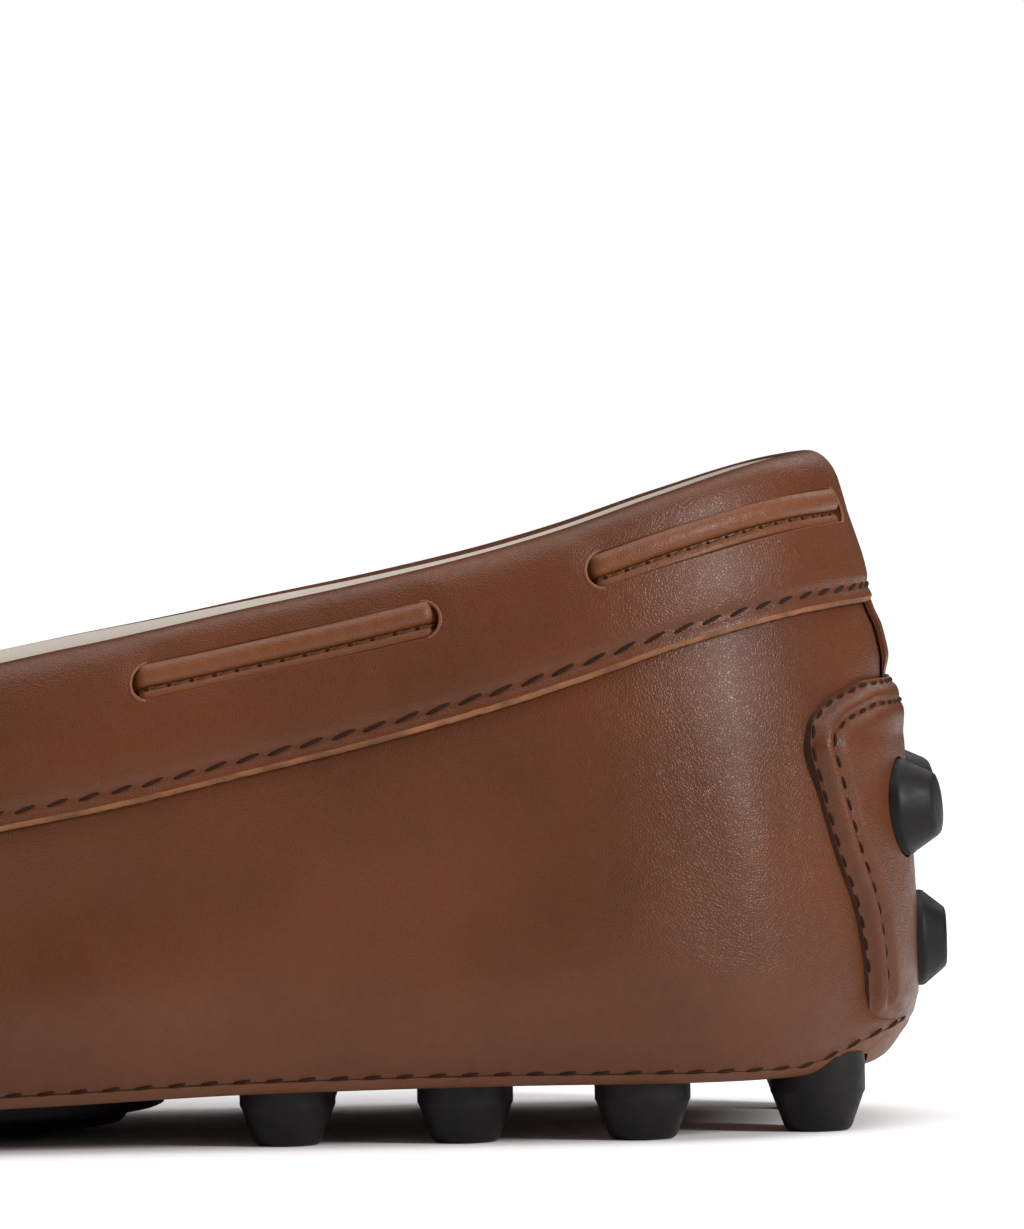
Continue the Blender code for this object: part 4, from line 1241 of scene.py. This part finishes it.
TONGUE_FRONT, TONGUE_END = 178.0, 138.0
TONGUE_HALF_FRONT, TONGUE_HALF_END, TONGUE_SHEET = 12.5, 14.5, 1.8
TONGUE_GRID = (60, 48)


def flat_limits(station, margin):
    """The x on each side that lies a margin inside the flat of the sole."""
    middle, inset = smooth(LAST, 3, station), smooth(LAST, 6, station) + margin
    return [middle + side * (half_width(station, side > 0) - inset) for side in (-1, 1)]


def stud_places(rows=STUD_ROWS):
    """(x, station) of each stud, spread over the flat of the sole."""
    places = []
    for pitches, count, inset in rows:
        station = FIRST_STUD + pitches * STUD_PITCH
        low, high = flat_limits(station, STUD_MARGIN + inset)
        places += [(x, station) for x in spaced(low, high, count - 1)]
    return places


def stud_axis(station):
    """(axis, foot) of the studs at a station: straight down to the floor where they stand on it."""
    height = sole_height(station)
    stands = height < STUD_LENGTH + STUD_REACH
    slope = (sole_height(station + 1) - sole_height(station - 1)) / 2
    return Vector((0, 0 if stands else -slope, -1)).normalized(), height if stands else STUD_LENGTH


def stud_points(x, station):
    axis, foot = stud_axis(station)
    collar = foot - STUD_LENGTH + STUD_COLLAR
    profile = [(STUD_RADIUS, -2.0), (STUD_RADIUS, collar - 0.3), (STUD_RADIUS - 0.05, collar - 0.1)]
    profile += [(STUD_RADIUS - 0.18, collar + 0.12), (STUD_TIP + 0.3, foot - 0.42)]
    profile += [(STUD_TIP + 0.12, foot - 0.14), (STUD_TIP - 0.12, foot), (0.02, foot)]
    return turned_points(profile, STUD_SIDES, placed(x, station, sole_height(station)), axis)


def deck_points(inset, first, last, low, high, count=90):
    """Points and faces of a plate that follows the underside, between two heights above it."""
    layers = [], []
    for reach in spaced(g_of(first), g_of(last), count):
        reach = min(0.9995, max(0.0005, reach))
        for g in (-reach, reach):
            x, station = widest(g)
            ox, os = rib(g)[2]
            drop = inset(station)
            x, station = x - ox * drop, station - os * drop
            for layer, over in zip(layers, (low, high)):
                layer.append(placed(x, station, sole_height(station) + over))
    return solid_sheet(*layers, grid_faces(count + 1, 2))[:2]


def make_studs(name, rows, limits):
    low = PANEL_SHEET + CLEAR
    shapes = [stud_points(x, station) for x, station in stud_places(rows)]
    inset = lambda station: smooth(LAST, 6, station) + PLATE_MARGIN
    shapes.append(deck_points(inset, *limits, low, low + PLATE_SHEET))
    piece(name, gather(shapes))


def make_panel():
    """The leather sole, turned up to its seam, with holes for the studs and a window for the pad."""
    half, levels = 150, 9
    around = [j / half for j in range(1 - half, half + 1)]
    count = len(around)
    outer, inner = [], []
    for level in range(levels):
        for g in around:
            q = (seam_q(g) - SEAM_GAP) * level / (levels - 1)
            base, normal = wall(g, q), wall_normal(g, q)
            base = base + heel_fill(g, base.z) * ease(q / 0.2)
            outer.append(base)
            inner.append(base - normal * PANEL_SHEET)
    faces = grid_faces(levels, count, around=True)
    heel = half - 1
    for k in range(half):
        corners = [(heel - k - 1) % count, heel + k + 1, heel + k, heel - k]
        faces.append(tuple(dict.fromkeys(corners)))
    radius = STUD_RADIUS + HOLE_ROOM
    profile = ((radius, -1.7), (radius, 4.0))
    holes = []
    for x, station in stud_places():
        place = placed(x, station, sole_height(station))
        holes.append(turned_points(profile, STUD_SIDES, place, stud_axis(station)[0]))
    holes.append(pad_points(((-CLEAR, -4.0), (-CLEAR, 4.0))))
    piece("sole_panel", solid_sheet(outer, inner, faces), holes, EDGE_SLOT)
    path = []
    for j in range(-half * 4, half * 4 + 1):
        g = j / (half * 4.02)
        q = seam_q(g) + 0.02
        normal = wall_normal(g, q)
        path.append((wall_point(g, q)[0] + normal * 0.03, normal))
    stitch_line("sole_stitches", path, brown_thread)


def pad_points(steps, sides=120):
    points = []
    for inset, over in steps:
        for cos, sin in circle(sides):
            long = math.copysign(abs(cos) ** 0.75, cos) * (PAD_HALF_LENGTH - inset)
            wide = math.copysign(abs(sin) ** 0.75, sin) * (PAD_HALF_WIDTH - inset)
            station = PAD_STATION + long
            points.append(placed(PAD_CENTRE + wide, station, sole_height(station) + over))
    faces = grid_faces(len(steps), sides, around=True)
    for base in (0, (len(steps) - 1) * sides):
        for k in range(sides // 2):
            corners = (k, k + 1, sides - k - 1, (sides - k) % sides)
            faces.append(tuple(dict.fromkeys(base + corner for corner in corners)))
    return points, faces


def make_pad():
    piece("arch_pad", pad_points(PAD_STEPS), turned=True)


def make_insole():
    low = PANEL_SHEET + CLEAR + PLATE_SHEET + CLEAR
    inset = lambda station: INSOLE_EDGE + 0.65 * smooth(LAST, 6, station)
    piece("insole", deck_points(inset, *INSOLE_ENDS, low, low + INSOLE_SHEET), turned=True)


def tongue_place(station, x):
    """The tongue's upper side: under the apron's lining, then on along the same slope."""
    throat_station = top_edge(THROAT)[1]
    reach = min(1.0, max(0.0, (station - TOP_START) / (TOP_END - TOP_START)))
    g = 2 / math.pi * math.asin(math.sqrt(max(reach, travel(THROAT))))
    edge_x, edge_station, edge_z = top_edge(g)
    middle = smooth(LAST, 3, edge_station)
    w = x / (edge_x - middle)
    under = edge_z + APRON_CROWN * (1 - w * w) - (WALL + 2 * CLEAR + 0.3)
    beyond = max(0.0, throat_station - station)
    return placed(middle + x, station, under + 0.27 * beyond - 0.003 * beyond**2)


def make_tongue():
    def place(share, side):
        station = TONGUE_FRONT + (TONGUE_END - TONGUE_FRONT) * share
        half = TONGUE_HALF_FRONT + (TONGUE_HALF_END - TONGUE_HALF_FRONT) * share
        half *= rounding((1 - share) * (TONGUE_FRONT - TONGUE_END) + 1.0, 9.0, 2.4)
        point = tongue_place(station, half * side)
        soft = 0.3 * noise.noise(Vector((side * 1.6, station * 0.08, 9.0)))
        over = soft * (1 - side * side) - 0.25 * abs(side) ** 8
        return point + Vector((0, 0, over)), point - Vector((0, 0, TONGUE_SHEET))

    piece("tongue", sheet(*TONGUE_GRID, place, flip=False), turned=True)


def make_apron_stitches():
    """Hand stitches over the raised seam of the apron, from throat to toe and back."""
    shapes, path = [], []
    count = 2400
    for i in range(count + 1):
        g = (THROAT + 0.006) + (2 - 2 * THROAT - 0.012) * i / count
        side = 1.0 if wrapped(g) >= 0 else -1.0
        out = (wall_normal(g, 2.0) + apron_normal(g, side)).normalized()
        path.append((wall(g, 2.0), out, ridge_offset(g, 0.0) - 0.06))
    pitch, length, width, _ = STITCHES["apron_stitches"]
    run, due = 0.0, 1.5
    for (before, _, _), (place, out, crest) in zip(path, path[1:]):
        run += (place - before).length
        if run >= due:
            due += pitch
            cross = out.cross((place - before).normalized()).normalized()
            shapes.append(stitch(place + out * crest, cross, out, length, width))
    shell("apron_stitches", gather(shapes), [brown_thread])


# Floor, light and camera.


def make_stage():
    """A plain pale floor."""
    half, level = 700.0, -0.05
    corners = [(-half, -half, level), (half, -half, level), (half, half, level), (-half, half, level)]
    look = Look("stage paper")
    set_inputs(look.shader, Base_Color=(0.92, 0.92, 0.92, 1), Roughness=0.9, Specular_IOR_Level=0.1)
    stage = new_object("stage", new_mesh("stage", corners, [(0, 1, 2, 3)], [look.material]))


def make_light(name, place, aim, size, power):
    data = bpy.data.lights.new(name, "AREA")
    data.shape = "RECTANGLE"
    data.size, data.size_y = size
    data.energy = power
    light = new_object(name, data)
    light.location = place
    light.rotation_euler = (Vector(aim) - Vector(place)).to_track_quat("-Z", "Y").to_euler()


def make_world():
    """White to the eye, a soft fill for the leather and dim in its reflections."""
    world = bpy.data.worlds.new("studio")
    world.use_nodes = True
    nodes, links = world.node_tree.nodes, world.node_tree.links
    path = nodes.new("ShaderNodeLightPath")
    level = nodes.new("ShaderNodeMix")
    level.inputs[2].default_value, level.inputs[3].default_value = 0.30, 0.04
    links.new(path.outputs["Is Glossy Ray"], level.inputs[0])
    seen = nodes.new("ShaderNodeMix")
    seen.inputs[3].default_value = 1.05
    links.new(path.outputs["Is Camera Ray"], seen.inputs[0])
    links.new(level.outputs[0], seen.inputs[2])
    nodes["Background"].inputs["Color"].default_value = (1.0, 1.0, 1.0, 1)
    links.new(seen.outputs[0], nodes["Background"].inputs["Strength"])
    bpy.context.scene.world = world


CAMERA_PLACE = (976.0, 99.7, 71.0)
CAMERA_PITCH, CAMERA_ROLL = 0.0217, -0.0165
CAMERA_FOCUS, FRAME_WIDTH = 9949.0, 1024.0


def make_camera():
    """A level look from the outer side at the heel, turned by the photo's small pitch and roll."""
    forward = Vector((-math.cos(CAMERA_PITCH), 0, -math.sin(CAMERA_PITCH)))
    level = Vector((0, 1, 0))
    upright = level.cross(forward)
    cos, sin = math.cos(CAMERA_ROLL), math.sin(CAMERA_ROLL)
    right = level * cos + upright * sin
    up = upright * cos - level * sin
    turn = Matrix((right, up, -forward)).transposed().to_4x4()
    data = bpy.data.cameras.new("camera")
    data.sensor_fit = "HORIZONTAL"
    data.sensor_width = 36.0
    data.lens = CAMERA_FOCUS / FRAME_WIDTH * 36.0
    data.dof.use_dof = False
    data.clip_end = 20.0
    camera = new_object("camera", data)
    camera.matrix_world = Matrix.Translation(Vector(CAMERA_PLACE) * MM) @ turn
    bpy.context.scene.camera = camera


def main():
    make_upper()
    make_apron_stitches()
    make_band()
    make_rims()
    make_lace()
    make_patch()
    make_back_studs()
    make_backstay()
    make_tongue()
    make_panel()
    make_studs("heel_studs", STUD_ROWS[:HEEL_ROWS], HEEL_PLATE)
    make_studs("forefoot_studs", STUD_ROWS[HEEL_ROWS:], FOREFOOT_PLATE)
    make_pad()
    make_insole()
    make_stage()
    make_world()
    make_light("top softbox", (0.1, 0.05, 1.4), (0, 0.05, 0), (1.5, 1.5), 21)
    make_light("heel softbox", (0.64, 1.09, 0.56), (0, 0.1, 0.03), (0.2, 0.42), 14.5)
    make_light("far softbox", (-1.0, 0.7, 0.9), (0, 0.08, 0.03), (0.8, 0.8), 3)
    make_camera()
    bpy.context.scene.view_settings.view_transform = "Standard"


main()
